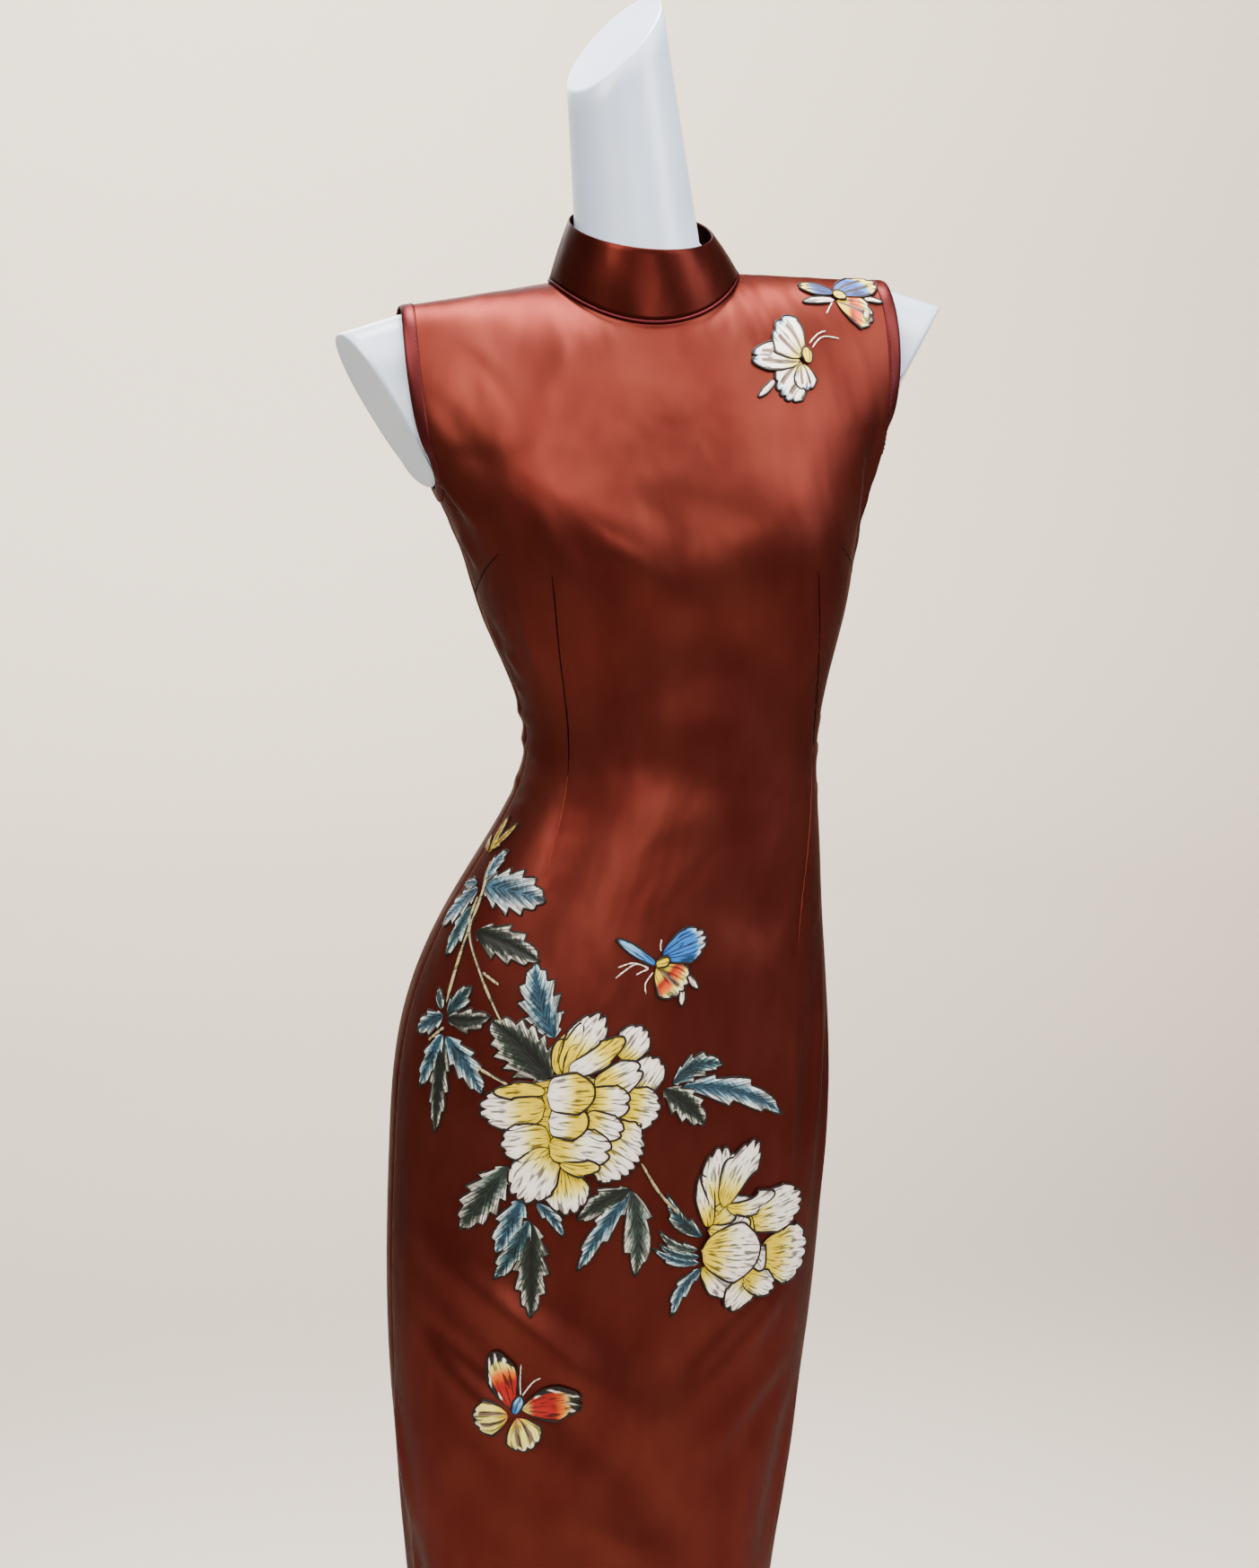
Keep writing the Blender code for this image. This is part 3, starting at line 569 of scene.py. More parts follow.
def pairs(u, v):
    """Two values for each place of a grid, as one list of pairs."""
    return np.stack(np.broadcast_arrays(u, v), axis=-1).reshape(-1, 2)


def gather(store, points, faces, **values):
    """Adds points, their faces and their values to a store of what make_piece takes."""
    first = len(store["points"])
    store["points"] += list(points.reshape(-1, 3))
    store["faces"] += [tuple(first + i for i in face) for face in faces]
    for name, value in values.items():
        store[name] += list(value)


def link(name, data):
    """A new object in the scene for some mesh, camera or light."""
    obj = bpy.data.objects.new(name, data)
    bpy.context.scene.collection.objects.link(obj)
    return obj


def make_piece(name, points, faces, mat, uv=None, colours=None):
    """A smooth mesh object that rides on the one body, with a flat-cloth UV and thread colours."""
    mesh = bpy.data.meshes.new(name)
    mesh.from_pydata([tuple(p) for p in points], [], faces)
    mesh.materials.append(mat)
    corners = np.empty(len(mesh.loops), int)
    mesh.loops.foreach_get("vertex_index", corners)
    if uv is not None:
        layer = mesh.uv_layers.new(name="cloth")
        layer.data.foreach_set("uv", np.asarray(uv, float)[corners].ravel())
    if colours is not None:
        attribute = mesh.color_attributes.new("thread", "FLOAT_COLOR", "POINT")
        attribute.data.foreach_set("color", np.asarray(colours, float).ravel())
    mesh.shade_smooth()
    mesh.validate()
    obj = link(name, mesh)
    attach(obj, ROOT)
    return obj


def give_wall(obj, thickness, even=True):
    """Gives an open sheet its thickness, inward from the face it has."""
    wall = obj.modifiers.new("wall", "SOLIDIFY")
    wall.thickness = thickness
    wall.offset = -1
    wall.use_even_offset = even
    wall.use_rim = True
    return obj


LAID_UP = (0.13, 1, 0.21)  # a way that no cord laid on the cloth runs along


def tube_rings(path, radius, sides, up=(0, 0, 1)):
    """Rings of points round a path, with a radius for each of its points."""
    path = np.asarray(path, float)
    radius = np.broadcast_to(radius, len(path))
    run = unit(np.gradient(path, axis=0))
    side = unit(np.cross(run, np.asarray(up, float)))
    top = np.cross(side, run)
    turns = np.arange(sides) * 2 * pi / sides
    spokes = np.cos(turns)[None, :, None] * side[:, None]
    spokes = spokes + np.sin(turns)[None, :, None] * top[:, None]
    return path[:, None] + spokes * radius[:, None, None]


# ---------------------------------------------------------------- materials


def linear(hex_colour):
    """An sRGB hex colour as linear red, green, blue and full alpha."""
    parts = [int(hex_colour[i : i + 2], 16) / 255 for i in (1, 3, 5)]
    return tuple(c / 12.92 if c <= 0.04045 else ((c + 0.055) / 1.055) ** 2.4 for c in parts) + (1.0,)


def new_material(name, **sockets):
    """A Principled material with its fixed values set on the shader's own sockets."""
    mat = bpy.data.materials.new(name)
    mat.use_nodes = True
    shader = mat.node_tree.nodes["Principled BSDF"]
    for socket, value in sockets.items():
        shader.inputs[socket.replace("_", " ")].default_value = value
    return mat, mat.node_tree, shader


def add_node(tree, kind, settings=None, links=None, stops=(), **values):
    """A node with its settings, its unlinked values and its links: input name or number to a socket.

    A colour ramp takes its two stops too, each a place and a colour.
    """
    node = tree.nodes.new(kind)
    for name, value in (settings or {}).items():
        setattr(node, name, value)
    for name, value in values.items():
        node.inputs[name.replace("_", " ")].default_value = value
    for name, socket in (links or {}).items():
        tree.links.new(node.inputs[name], socket)
    for i, (place, colour) in enumerate(stops):
        node.color_ramp.elements[i].position = place
        node.color_ramp.elements[i].color = linear(colour)
    return node


def satin(name, lit, deep, roughness=0.4):
    """Silk satin, woven with long floats: it gives a broad, coloured sheen and an even, deep body.

    Its floats run up the cloth. The real thread spacing, 0.12 mm, is too fine to show, so the streaks
    are drawn 0.9 mm apart and 30 mm long. The backing shows through as soft clouds, 45 mm wide and
    80 mm high.
    """
    mat, tree, shader = new_material(
        name,
        Roughness=roughness,
        Metallic=0.75,
        Specular_IOR_Level=0.4,
        Specular_Tint=linear("#83392C"),
        Anisotropic=0.35,
    )
    cloth = add_node(tree, "ShaderNodeUVMap", {"uv_map": "cloth"}).outputs["UV"]
    grain = []
    for width, height in ((0.9 * MM, 30 * MM), (45 * MM, 80 * MM)):
        scaled = add_node(tree, "ShaderNodeMapping", links={"Vector": cloth},
                          Scale=(1 / width, 1 / height, 1))
        noise = add_node(tree, "ShaderNodeTexNoise", {"noise_dimensions": "2D"},
                         {"Vector": scaled.outputs["Vector"]}, Scale=1.0, Detail=2.0)
        grain.append(noise.outputs["Fac"])
    streaks, clouds = grain
    mixed = add_node(tree, "ShaderNodeMix", {"data_type": "FLOAT"}, {2: clouds, 3: streaks}, Factor=0.15)
    colour = add_node(tree, "ShaderNodeValToRGB", links={"Fac": mixed.outputs[0]},
                      stops=((0.3, deep), (0.7, lit)))
    tree.links.new(shader.inputs["Base Color"], colour.outputs["Color"])
    soft = add_node(tree, "ShaderNodeBump", links={"Height": clouds}, Distance=3 * MM, Strength=0.6)
    weave = add_node(tree, "ShaderNodeBump", links={"Height": streaks, "Normal": soft.outputs["Normal"]},
                     Distance=0.05 * MM, Strength=0.35)
    tree.links.new(shader.inputs["Normal"], weave.outputs["Normal"])
    return mat


def form_gloss():
    """Lacquered glass fibre, sprayed white: smooth, with a soft satin gloss and a faint orange peel."""
    mat, tree, shader = new_material(
        "white_lacquered_glass_fibre", Roughness=0.32, Coat_Weight=0.25, Coat_Roughness=0.2
    )
    place = add_node(tree, "ShaderNodeTexCoord").outputs["Object"]
    tone = add_node(tree, "ShaderNodeTexNoise", links={"Vector": place}, Scale=1 / (90 * MM), Detail=2.0)
    colour = add_node(tree, "ShaderNodeValToRGB", links={"Fac": tone.outputs["Fac"]},
                      stops=((0.3, "#93A0B5"), (0.7, "#9FACBF")))
    tree.links.new(shader.inputs["Base Color"], colour.outputs["Color"])
    peel = add_node(tree, "ShaderNodeTexNoise", links={"Vector": place}, Scale=1 / (2.2 * MM), Detail=1.0)
    relief = add_node(tree, "ShaderNodeBump", links={"Height": peel.outputs["Fac"]},
                      Distance=0.03 * MM, Strength=0.5)
    tree.links.new(shader.inputs["Normal"], relief.outputs["Normal"])
    return mat


def brushed_steel(name, turned):
    """Mild steel, brushed along its length or turned round its axis, and clear lacquered.

    Its fine lines are drawn 0.8 mm apart, so that they show.
    """
    mat, tree, shader = new_material(name, Metallic=1.0, Coat_Weight=0.2, Coat_Roughness=0.3)
    place = add_node(tree, "ShaderNodeTexCoord").outputs["Object"]
    if turned:
        flat = add_node(tree, "ShaderNodeVectorMath", {"operation": "MULTIPLY"}, {0: place})
        flat.inputs[1].default_value = (1, 1, 0)
        length = add_node(tree, "ShaderNodeVectorMath", {"operation": "LENGTH"}, {0: flat.outputs[0]})
        lines = add_node(tree, "ShaderNodeTexNoise", {"noise_dimensions": "1D"},
                         {"W": length.outputs["Value"]}, Scale=1 / (0.8 * MM), Detail=3.0)
    else:
        stretch = add_node(tree, "ShaderNodeMapping", links={"Vector": place},
                           Scale=(1 / (0.8 * MM), 1 / (0.8 * MM), 1 / (60 * MM)))
        lines = add_node(tree, "ShaderNodeTexNoise", links={"Vector": stretch.outputs["Vector"]},
                         Scale=1.0, Detail=2.0)
    colour = add_node(tree, "ShaderNodeValToRGB", links={"Fac": lines.outputs["Fac"]},
                      stops=((0.3, "#8E9094"), (0.7, "#B4B6BA")))
    tree.links.new(shader.inputs["Base Color"], colour.outputs["Color"])
    rough = add_node(tree, "ShaderNodeMapRange", links={"Value": lines.outputs["Fac"]},
                     To_Min=0.28, To_Max=0.42)
    tree.links.new(shader.inputs["Roughness"], rough.outputs["Result"])
    relief = add_node(tree, "ShaderNodeBump", links={"Height": lines.outputs["Fac"]},
                      Distance=0.02 * MM, Strength=0.6)
    tree.links.new(shader.inputs["Normal"], relief.outputs["Normal"])
    return mat


def embroidery_thread(name, roughness, gaps, sheen):
    """Untwisted silk floss laid in satin stitch: a soft gloss, with thin dark gaps of painted shade between
    threads.

    Each stitch's colour comes from the piece's own attribute. The floss is 0.4 mm wide, and is drawn
    1.7 mm wide so that it shows. More gaps give more painted shade, and let more of the dark ground
    through.
    """
    mat, tree, shader = new_material(
        name, Roughness=roughness, Sheen_Weight=sheen, Sheen_Roughness=0.4, Specular_IOR_Level=0.2
    )
    colour = add_node(tree, "ShaderNodeAttribute", {"attribute_name": "thread"}).outputs["Color"]
    cloth = add_node(tree, "ShaderNodeUVMap", {"uv_map": "cloth"}).outputs["UV"]
    along = add_node(tree, "ShaderNodeMapping", links={"Vector": cloth},
                     Scale=(1 / (1.7 * MM), 1 / (16 * MM), 1))
    lines = add_node(tree, "ShaderNodeTexNoise", {"noise_dimensions": "2D"},
                     {"Vector": along.outputs["Vector"]}, Scale=1.0, Detail=1.5, Roughness=0.6)
    # dark lines between threads: painted shade in the grooves, and the dark ground
    depth = add_node(tree, "ShaderNodeValToRGB", links={"Fac": lines.outputs["Fac"]},
                     stops=((gaps, "#2A221E"), (gaps + 0.1, "#FFFFFF")))
    shaded = add_node(tree, "ShaderNodeMix", {"data_type": "RGBA", "blend_type": "MULTIPLY"},
                      {6: colour, 7: depth.outputs["Color"]}, Factor=0.85)
    tree.links.new(shader.inputs["Base Color"], shaded.outputs[2])
    relief = add_node(tree, "ShaderNodeBump", links={"Height": lines.outputs["Fac"]},
                      Distance=0.35 * MM, Strength=0.8)
    tree.links.new(shader.inputs["Normal"], relief.outputs["Normal"])
    return mat


# ---------------------------------------------------------------- camera, floor and light

AIM = Vector((27 * MM, 0, 1018 * MM))
CAMERA_TURN = -11  # degrees round the dress: a little to the wearer's right
CAMERA_RISE = 9
CAMERA_DISTANCE = 2.2
VIEW_HEIGHT = 31.56  # degrees, that the frame takes in from top to bottom

FLOOR_RADIUS = 5.0
FLOOR_CURVE = 1.6  # radius with which the pale floor turns up into the backdrop
FLOOR_RISE = 3.4
FLOOR_SEGMENTS = 96
FLOOR_CURVE_STEPS = 8


def place_camera():
    """The camera, aimed at the dress from the front and a little above."""
    lens = bpy.data.cameras.new("camera")
    lens.sensor_fit = "VERTICAL"
    lens.angle_y = radians(VIEW_HEIGHT)
    camera = link("camera", lens)
    turn, rise = radians(CAMERA_TURN), radians(CAMERA_RISE)
    back = Vector((sin(turn) * cos(rise), -cos(turn) * cos(rise), sin(rise)))
    camera.location = AIM + back * CAMERA_DISTANCE
    camera.rotation_euler = (-back).to_track_quat("-Z", "Y").to_euler()
    bpy.context.scene.camera = camera


def studio_floor():
    """A round pale floor that turns up into a backdrop all round, far outside every view."""
    mat, tree, shader = new_material("matt_studio_paint", Roughness=0.9, Specular_IOR_Level=0.1)
    shader.inputs["Base Color"].default_value = linear("#CFC6B9")
    profile = [(0.0, 0.0), (FLOOR_RADIUS * 0.3, 0.0), (FLOOR_RADIUS * 0.7, 0.0)]
    for step in range(FLOOR_CURVE_STEPS + 1):
        turn = step / FLOOR_CURVE_STEPS * pi / 2
        profile.append((FLOOR_RADIUS + FLOOR_CURVE * sin(turn), FLOOR_CURVE * (1 - cos(turn))))
    profile.append((FLOOR_RADIUS + FLOOR_CURVE, FLOOR_RISE))
    turns = np.arange(FLOOR_SEGMENTS) * 2 * pi / FLOOR_SEGMENTS
    points = [(r * cos(t), r * sin(t), z) for r, z in profile[1:] for t in turns] + [(0, 0, 0)]
    faces = grid_faces(len(profile) - 1, FLOOR_SEGMENTS, closed_columns=True)
    centre = len(points) - 1
    faces += [(centre, (i + 1) % FLOOR_SEGMENTS, i) for i in range(FLOOR_SEGMENTS)]
    mesh = bpy.data.meshes.new("floor")
    mesh.from_pydata(points, [], faces)
    mesh.materials.append(mat)
    mesh.shade_smooth()
    link("floor", mesh)


# Soft boxes, in metres: place, the point that each is aimed at, and size. The washes light the backdrop
# all round, so that it stays pale in every view.
LIGHTS = (  # name, place, aim, width, height, spread, watts, colour
    ("key_softbox", (0.05, -1.2, 2.7), (0.03, -0.05, 1.3), 4.0, 0.8, 110, 45, "#FFF6EC"),
    ("right_softbox", (-1.5, -1.3, 2.6), (0, -0.05, 1.3), 1.2, 1.2, 110, 32, "#FFF6EC"),
    ("left_softbox", (1.7, -1.3, 2.6), (0.06, -0.05, 1.3), 1.2, 1.2, 110, 20, "#FFF6EC"),
    ("top_softbox", (0.1, 0.1, 2.7), (0.04, 0, 1.4), 1.0, 0.7, 100, 50, "#FFFAF4"),
    ("front_fill", (0.1, -3.6, 1.6), (0.03, 0, 0.9), 1.6, 1.2, 70, 13, "#FFF8F0"),
    ("left_fill", (3.0, -1.6, 1.9), (0.03, 0, 0.9), 1.4, 2.2, 120, 28, "#F2F4FF"),
    ("back_softbox", (-0.6, 3.0, 2.9), (0.03, 0, 1.0), 2.4, 1.8, 120, 64, "#FFFFFF"),
    ("wash_behind", (0, 1.4, 4.6), (0, 6.5, 1.9), 3.0, 1.0, 120, 620, "#FFFAF2"),
    ("wash_before", (0, -1.4, 4.6), (0, -6.5, 1.5), 3.0, 1.0, 180, 30, "#FFFAF2"),
    ("wash_right", (-1.4, 0, 4.6), (-6.5, 0, 1.5), 3.0, 1.0, 180, 40, "#FFFAF2"),
    ("wash_left", (1.4, 0, 4.6), (6.5, 0, 1.5), 3.0, 1.0, 180, 40, "#FFFAF2"),
)


def light_studio():
    """The soft boxes, and a faint even light all round."""
    for name, place, aim, width, height, spread, watts, colour in LIGHTS:
        lamp = bpy.data.lights.new(name, "AREA")
        lamp.shape = "RECTANGLE"
        lamp.size, lamp.size_y = width, height
        lamp.energy = watts
        lamp.spread = radians(spread)
        lamp.color = linear(colour)[:3]
        light = link(name, lamp)
        light.location = place
        light.rotation_euler = (Vector(place) - Vector(aim)).to_track_quat("Z", "Y").to_euler()
    world = bpy.data.worlds.new("studio")
    world.use_nodes = True
    background = world.node_tree.nodes["Background"]
    background.inputs["Color"].default_value = linear("#F2F0EE")
    background.inputs["Strength"].default_value = 0.02
    bpy.context.scene.world = world


# ---------------------------------------------------------------- the dress


def panel_cloth(name, panel, node, mat):
    """A panel's grid as a thin shell."""
    number = np.cumsum(panel.kept.ravel()) - 1
    faces = [tuple(number[i] for i in quad) for quad in outward_quads(panel.side, panel.kept)]
    h = np.broadcast_to(panel.h[:, None], panel.a.shape)
    uv = np.stack([panel.a[panel.kept], h[panel.kept]], axis=-1)
    obj = give_wall(make_piece(name, panel.points[panel.kept], faces, mat, uv), CLOTH)
    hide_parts(node)
    return obj


COLLAR_STEPS = 48  # from the centre back to the shoulder, and on to the centre front


def collar_rings():
    """For each place round the neck, from the nape round the left: the collar's foot and top."""
    back = np.linspace(0, NECK_EDGE, COLLAR_STEPS + 1)
    front = np.linspace(NECK_EDGE, -NECK_EDGE, 2 * COLLAR_STEPS + 1)
    places = [("back", s) for s in back[:-1]] + [("front", s) for s in front]
    places += [("back", s) for s in -back[-2::-1]]
    edges, feet, tops = [], [], []
    for side, s in places:
        angle = s / NECK_EDGE * pi / 2
        angle = angle if side == "front" else pi - angle
        edge = cloth_inner(side, s, CHEST + YOKE_RISE)
        lift = COLLAR_LIFTS[0] + (COLLAR_LIFTS[1] - COLLAR_LIFTS[0]) * sin(angle) ** 2
        x = COLLAR_TOP_HALF_WIDTH * sin(angle)
        y = -COLLAR_TOP_HALF_DEPTH * cos(angle)
        top = mm(*COLLAR_TOP) + np.array([x, y, COLLAR_FORWARD_DROP * y - COLLAR_SIDE_DROP * x])
        edges.append(edge)
        feet.append(edge + np.array([0, 0, lift]))
        tops.append(pose(top))
    edges, feet, tops = np.array(edges), np.array(feet), np.array(tops)
    for ring in (feet, tops):
        ring[0, 0] += SEAM / 2
        ring[-1, 0] -= SEAM / 2
    return edges, feet, tops


COLLAR_ROWS = 14
COLLAR_BELLY = 0.7 * MM  # that the stiffened band rounds out between its edges
ROLL_STEPS = 5


def collar(mat):
    """The stand collar: a stiffened band, turned over in a round edge at the top."""
    _, feet, tops = collar_rings()
    shares = np.linspace(0, 1, COLLAR_ROWS + 1)
    grid = feet[:, None] * (1 - shares)[None, :, None] + tops[:, None] * shares[None, :, None]
    along = np.gradient(grid, axis=0)
    up = np.gradient(grid, axis=1)
    out = unit(np.cross(up, along))
    centre = grid.mean(axis=(0, 1))
    out *= np.sign(((grid - centre) * out).sum())
    belly = COLLAR_BELLY * np.sin(pi * shares)[None, :, None]
    outer = grid + out * (COLLAR_WALL + belly)
    inner = grid + out * belly
    turns = np.arange(1, ROLL_STEPS) * pi / ROLL_STEPS
    half = COLLAR_WALL / 2
    top, top_out, top_up = grid[:, -1:], out[:, -1:], unit(up[:, -1:])
    roll = top + top_out * (half + half * np.cos(turns))[None, :, None]
    roll = roll + top_up * (half * np.sin(turns))[None, :, None]
    loop = np.concatenate([outer, roll, inner[:, ::-1]], axis=1)
    rows, columns = loop.shape[:2]
    run = arc_lengths(grid[:, COLLAR_ROWS // 2])
    uv = pairs(run[:, None], arc_lengths(loop[0])[None, :])
    obj = make_piece("collar_band", loop.reshape(-1, 3), tube_faces(rows, columns), mat, uv)
    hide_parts("collar")
    return obj


PIPING_RADIUS = 1.5 * MM
PIPING_SIDES = 12
PIPING_OUT = 1.7 * MM  # from the middle of the joint to the cord's middle


def piping(mat):
    """A cord covered in dark satin, sewn in where the collar meets the panels."""
    edges, feet, tops = collar_rings()
    middle = (edges + feet) / 2
    centre = middle.mean(axis=0)
    run = np.gradient(middle, axis=0)
    out = unit(np.cross(run, tops - feet))
    out *= np.sign(((middle - centre) * out).sum())
    path = middle + out * PIPING_OUT
    rings = tube_rings(path, PIPING_RADIUS, PIPING_SIDES).reshape(-1, 3)
    turn = np.arange(PIPING_SIDES) / PIPING_SIDES * 2 * pi * PIPING_RADIUS
    uv = pairs(turn[None, :], arc_lengths(path)[:, None])
    obj = make_piece("collar_piping_cord", rings, tube_faces(len(path), PIPING_SIDES), mat, uv)
    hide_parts("collar_piping")
    return obj


# The binding's outside, from its hem to the armhole: distance from the cloth's edge and lift, in mm.
BINDING_PROFILE = ((10, 0.15), (9.4, 0.88), (8, 1.1), (5, 1.375), (2, 1.32))
BINDING_ROLL = 0.9 * MM  # with which it turns over the cloth's edge
BINDING_TURNS = (20, 65, 115, 160)  # degrees of that turn
BINDING_INSIDE = 4.5 * MM  # width of the part that lies under the cloth
BINDING_INSIDE_LIFT = 0.2 * MM
BINDING_CLOTH = 0.5 * MM
ARMHOLE_POINTS = 144
STITCH_LENGTH = 2.6 * MM
STITCH_PITCH = 3.9 * MM
STITCH_RADIUS = 0.3 * MM
STITCH_PLACE = (8.5, 1.265)  # the row's distance from the armhole's edge and its lift, in mm
STITCH_SHARES = (0, 0.15, 0.5, 0.85, 1)  # along a stitch, and its thickness there
STITCH_SIZES = (0.35, 0.9, 1, 0.9, 0.35)
STITCH_SIDES = 5


def armhole(front, back, mirror):
    """Points of one armhole's edge, the way into the panel at each, and the way out of the cloth."""
    edge_column = int(YOKE_EDGE * HALF_COLUMNS)
    points, ways, outs = [], [], []
    for panel in (front, back):
        column_of = {int(round(s * HALF_COLUMNS)): i for i, s in enumerate(panel.s)}
        keys = [(BODY_ROWS, mirror * c) for c in range(HALF_COLUMNS, edge_column, -1)]
        keys += [(row, mirror * edge_column) for row in range(BODY_ROWS, len(panel.h))]
        side_points, side_ways, side_outs = [], [], []
        for row, column in keys:
            i = column_of[column]
            under = abs(column) > edge_column
            corner = row == BODY_ROWS and not under
            inner_i = i if under else column_of[column - mirror]
            inner_row = row - 1 if under or corner else row
            here = panel.points[row, i]
            side_points.append(here)
            side_ways.append(panel.points[inner_row, inner_i] - here)
            side_outs.append(panel.normal[row, i])
        if panel is back:
            back_way = slice(-2, 0, -1)
            side_points, side_ways, side_outs = (
                values[back_way] for values in (side_points, side_ways, side_outs)
            )
        points += side_points
        ways += side_ways
        outs += side_outs
    return np.array(points), np.array(ways), np.array(outs)


def at_lengths(places, lengths, values):
    """Vectors at some lengths along a path, between those at its own points."""
    return np.stack([np.interp(places, lengths, values[:, i]) for i in range(3)], axis=-1)


def evenly(ring, values):
    """Values along a closed ring, at ARMHOLE_POINTS places with even steps between them."""
    closed = np.vstack([ring, ring[:1]])
    lengths = arc_lengths(closed)
    places = np.arange(ARMHOLE_POINTS) / ARMHOLE_POINTS * lengths[-1]
    return at_lengths(places, lengths, np.vstack([values, values[:1]]))


def soften(ring, times):
    """A closed ring of vectors, each averaged with its two neighbours."""
    for _ in range(times):
        ring = (np.roll(ring, 1, axis=0) + 2 * ring + np.roll(ring, -1, axis=0)) / 4
    return ring


def cloth_tree(*panels):
    """The outer faces of some panels as one tree, to lay things on."""
    verts, faces = [], []
    for panel in panels:
        start = len(verts)
        verts += [tuple(p) for p in panel.points.reshape(-1, 3)]
        faces += [[start + i for i in quad] for quad in outward_quads(panel.side, panel.kept)]
    return BVHTree.FromPolygons(verts, faces)


def binding(side, mirror, front, back, mat, thread):
    """The folded strip of satin that binds an armhole, with its row of stitches."""
    tree = cloth_tree(front, back)
    edge, ways, outs = armhole(front, back, mirror)
    points = soften(evenly(edge, edge), 4)
    run = unit(np.roll(points, -1, axis=0) - np.roll(points, 1, axis=0))
    outs = unit(soften(evenly(edge, outs), 8))
    outs = unit(outs - run * (outs * run).sum(-1, keepdims=True))
    square = np.cross(outs, run)
    ways = square * np.sign((square * evenly(edge, unit(ways))).sum())

    def laid(distance, lift):
        ring = []
        for point, way in zip(points, ways):
            place, normal, _, _ = tree.find_nearest(Vector(point + way * distance))
            ring.append(np.array(place + normal * lift))
        return soften(np.array(ring), 1)

    strip = [laid(distance * MM, lift * MM) for distance, lift in BINDING_PROFILE]
    for turn in BINDING_TURNS:
        across, up = BINDING_ROLL * cos(radians(turn)), BINDING_ROLL * sin(radians(turn))
        strip.append(points - ways * up + outs * (1.3 * across - CLOTH / 2))
    under = laid(BINDING_INSIDE, -CLOTH - BINDING_INSIDE_LIFT)
    strip += [points + ways * MM - outs * (CLOTH + BINDING_INSIDE_LIFT), under]
    grid = np.array(strip).transpose(1, 0, 2)
    rows, columns = grid.shape[:2]
    faces = grid_faces(rows, columns, closed_rows=True)
    uv = pairs(arc_lengths(grid[0])[None, :], arc_lengths(points)[:, None])
    faces = faces_outward(grid.reshape(-1, 3), faces, outs.mean(axis=0), columns)
    obj = make_piece(f"armhole_band_{side}", grid.reshape(-1, 3), faces, mat, uv)
    give_wall(obj, BINDING_CLOTH, even=False)
    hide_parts(f"armhole_binding_{side}")
    row = laid(STITCH_PLACE[0] * MM, STITCH_PLACE[1] * MM)
    stitches(f"binding_stitches_{side}", np.vstack([row, row[:1]]), thread)


def faces_outward(points, faces, out, columns):
    """The faces, turned round if the first columns of the grid face against out."""
    facing = 0.0
    for face in faces[::columns]:
        a, b, c = (points[i] for i in face[:3])
        facing += np.cross(b - a, c - a) @ out
    return faces if facing > 0 else [face[::-1] for face in faces]


def stitches(name, path, mat):
    """A row of short stitches along a path on the cloth."""
    lengths = arc_lengths(path)
    row = defaultdict(list)
    for start in np.arange(0, lengths[-1] - STITCH_LENGTH, STITCH_PITCH):
        line = at_lengths(start + STITCH_LENGTH * np.array(STITCH_SHARES), lengths, path)
        rings = tube_rings(line, STITCH_RADIUS * np.array(STITCH_SIZES), STITCH_SIDES)
        gather(row, rings, tube_faces(len(line), STITCH_SIDES))
    obj = make_piece(name, mat=mat, **row)
    return obj


DART_RADIUS = 0.5 * MM
DART_SIDES = 6
DART_LIFT = 0.15 * MM
DART_TIP = 0.3  # share of its radius at each end of the line


def dart_seams(panels, name, lit, mat):
    """Raised lines on the darts: dark ones of painted shade above, or lighter ones of painted highlight
    below.
    """
    seams = defaultdict(list)
    for side, line, split in DARTS:
        for panel in panels:
            if panel.side != side or not panel.s[0] <= np.sign(line[0][0]) * 0.5 <= panel.s[-1]:
                continue
            places = spline_through(line, DART_STEPS) * MM
            turned = int(split * len(places))
            places = places[turned:] if lit else places[: turned + 1]
            if len(places) < 3:
                continue
            path = panel.at(places[:, 0], places[:, 1], np.full(len(places), DART_LIFT))
            share = np.linspace(0, 1, len(path))
            full = smooth(share * 6) * smooth((1 - share) * 6)
            rings = tube_rings(path, DART_RADIUS * (DART_TIP + (1 - DART_TIP) * full), DART_SIDES, LAID_UP)
            uv = pairs(np.arange(DART_SIDES)[None, :] * DART_RADIUS, places[:, 1:])
            gather(seams, rings, tube_faces(len(path), DART_SIDES), uv=uv)
    obj = make_piece(name, mat=mat, **seams)
    return obj


# ---------------------------------------------------------------- the dress form and its stand


FORM_FIRST_ROW = 112  # of the panels' rows: the form ends a little under it
FORM_STEP = 2  # it takes every second row and column
FORM_FOOT = 2.3 * MM  # height and width of the rim at its lower end
EASE = 3 * MM  # between the form and the cloth
SHOULDER_EASE = 0.8 * MM  # and where the dress hangs on it
SHOULDER_TOP = 1411 * MM  # above this the ease is the shoulders'
SHOULDER_REACH = 45 * MM  # and this far below it the body's
EDGE_EASE = 3 * MM  # between the form and the edges of the armholes and the neckline
NECK_RING = (-5, 0, 1440)  # middle of the neck where it leaves the collar, in mm
NECK_RING_RADIUS = 48 * MM
NECK_TOP = (-21, 0, 1590)  # middle of the neck's slanted cut, in mm
NECK_TOP_RADIUS = 36.5 * MM
NECK_CUT_RISE = (0.92, 0.5)  # how the cut rises to the left (x) and to the back (y)
NECK_ROOT = 0.6  # share of the way from the neckline to that ring, where the root's curve is widest
NECK_ROWS = 8
STUB_REACH = 53 * MM  # of a shoulder cap, from the shoulder's tip
STUB_DROP = 17  # degrees that it points down
STUB_CUT = 28  # degrees that its cut faces down
STUB_TURN = 17  # and forward
STUB_LEAST = 1.5 * MM  # length at its shortest
STUB_ROWS = 6
CUT_BEVEL = 1.3 * MM  # of the cut ends' edges
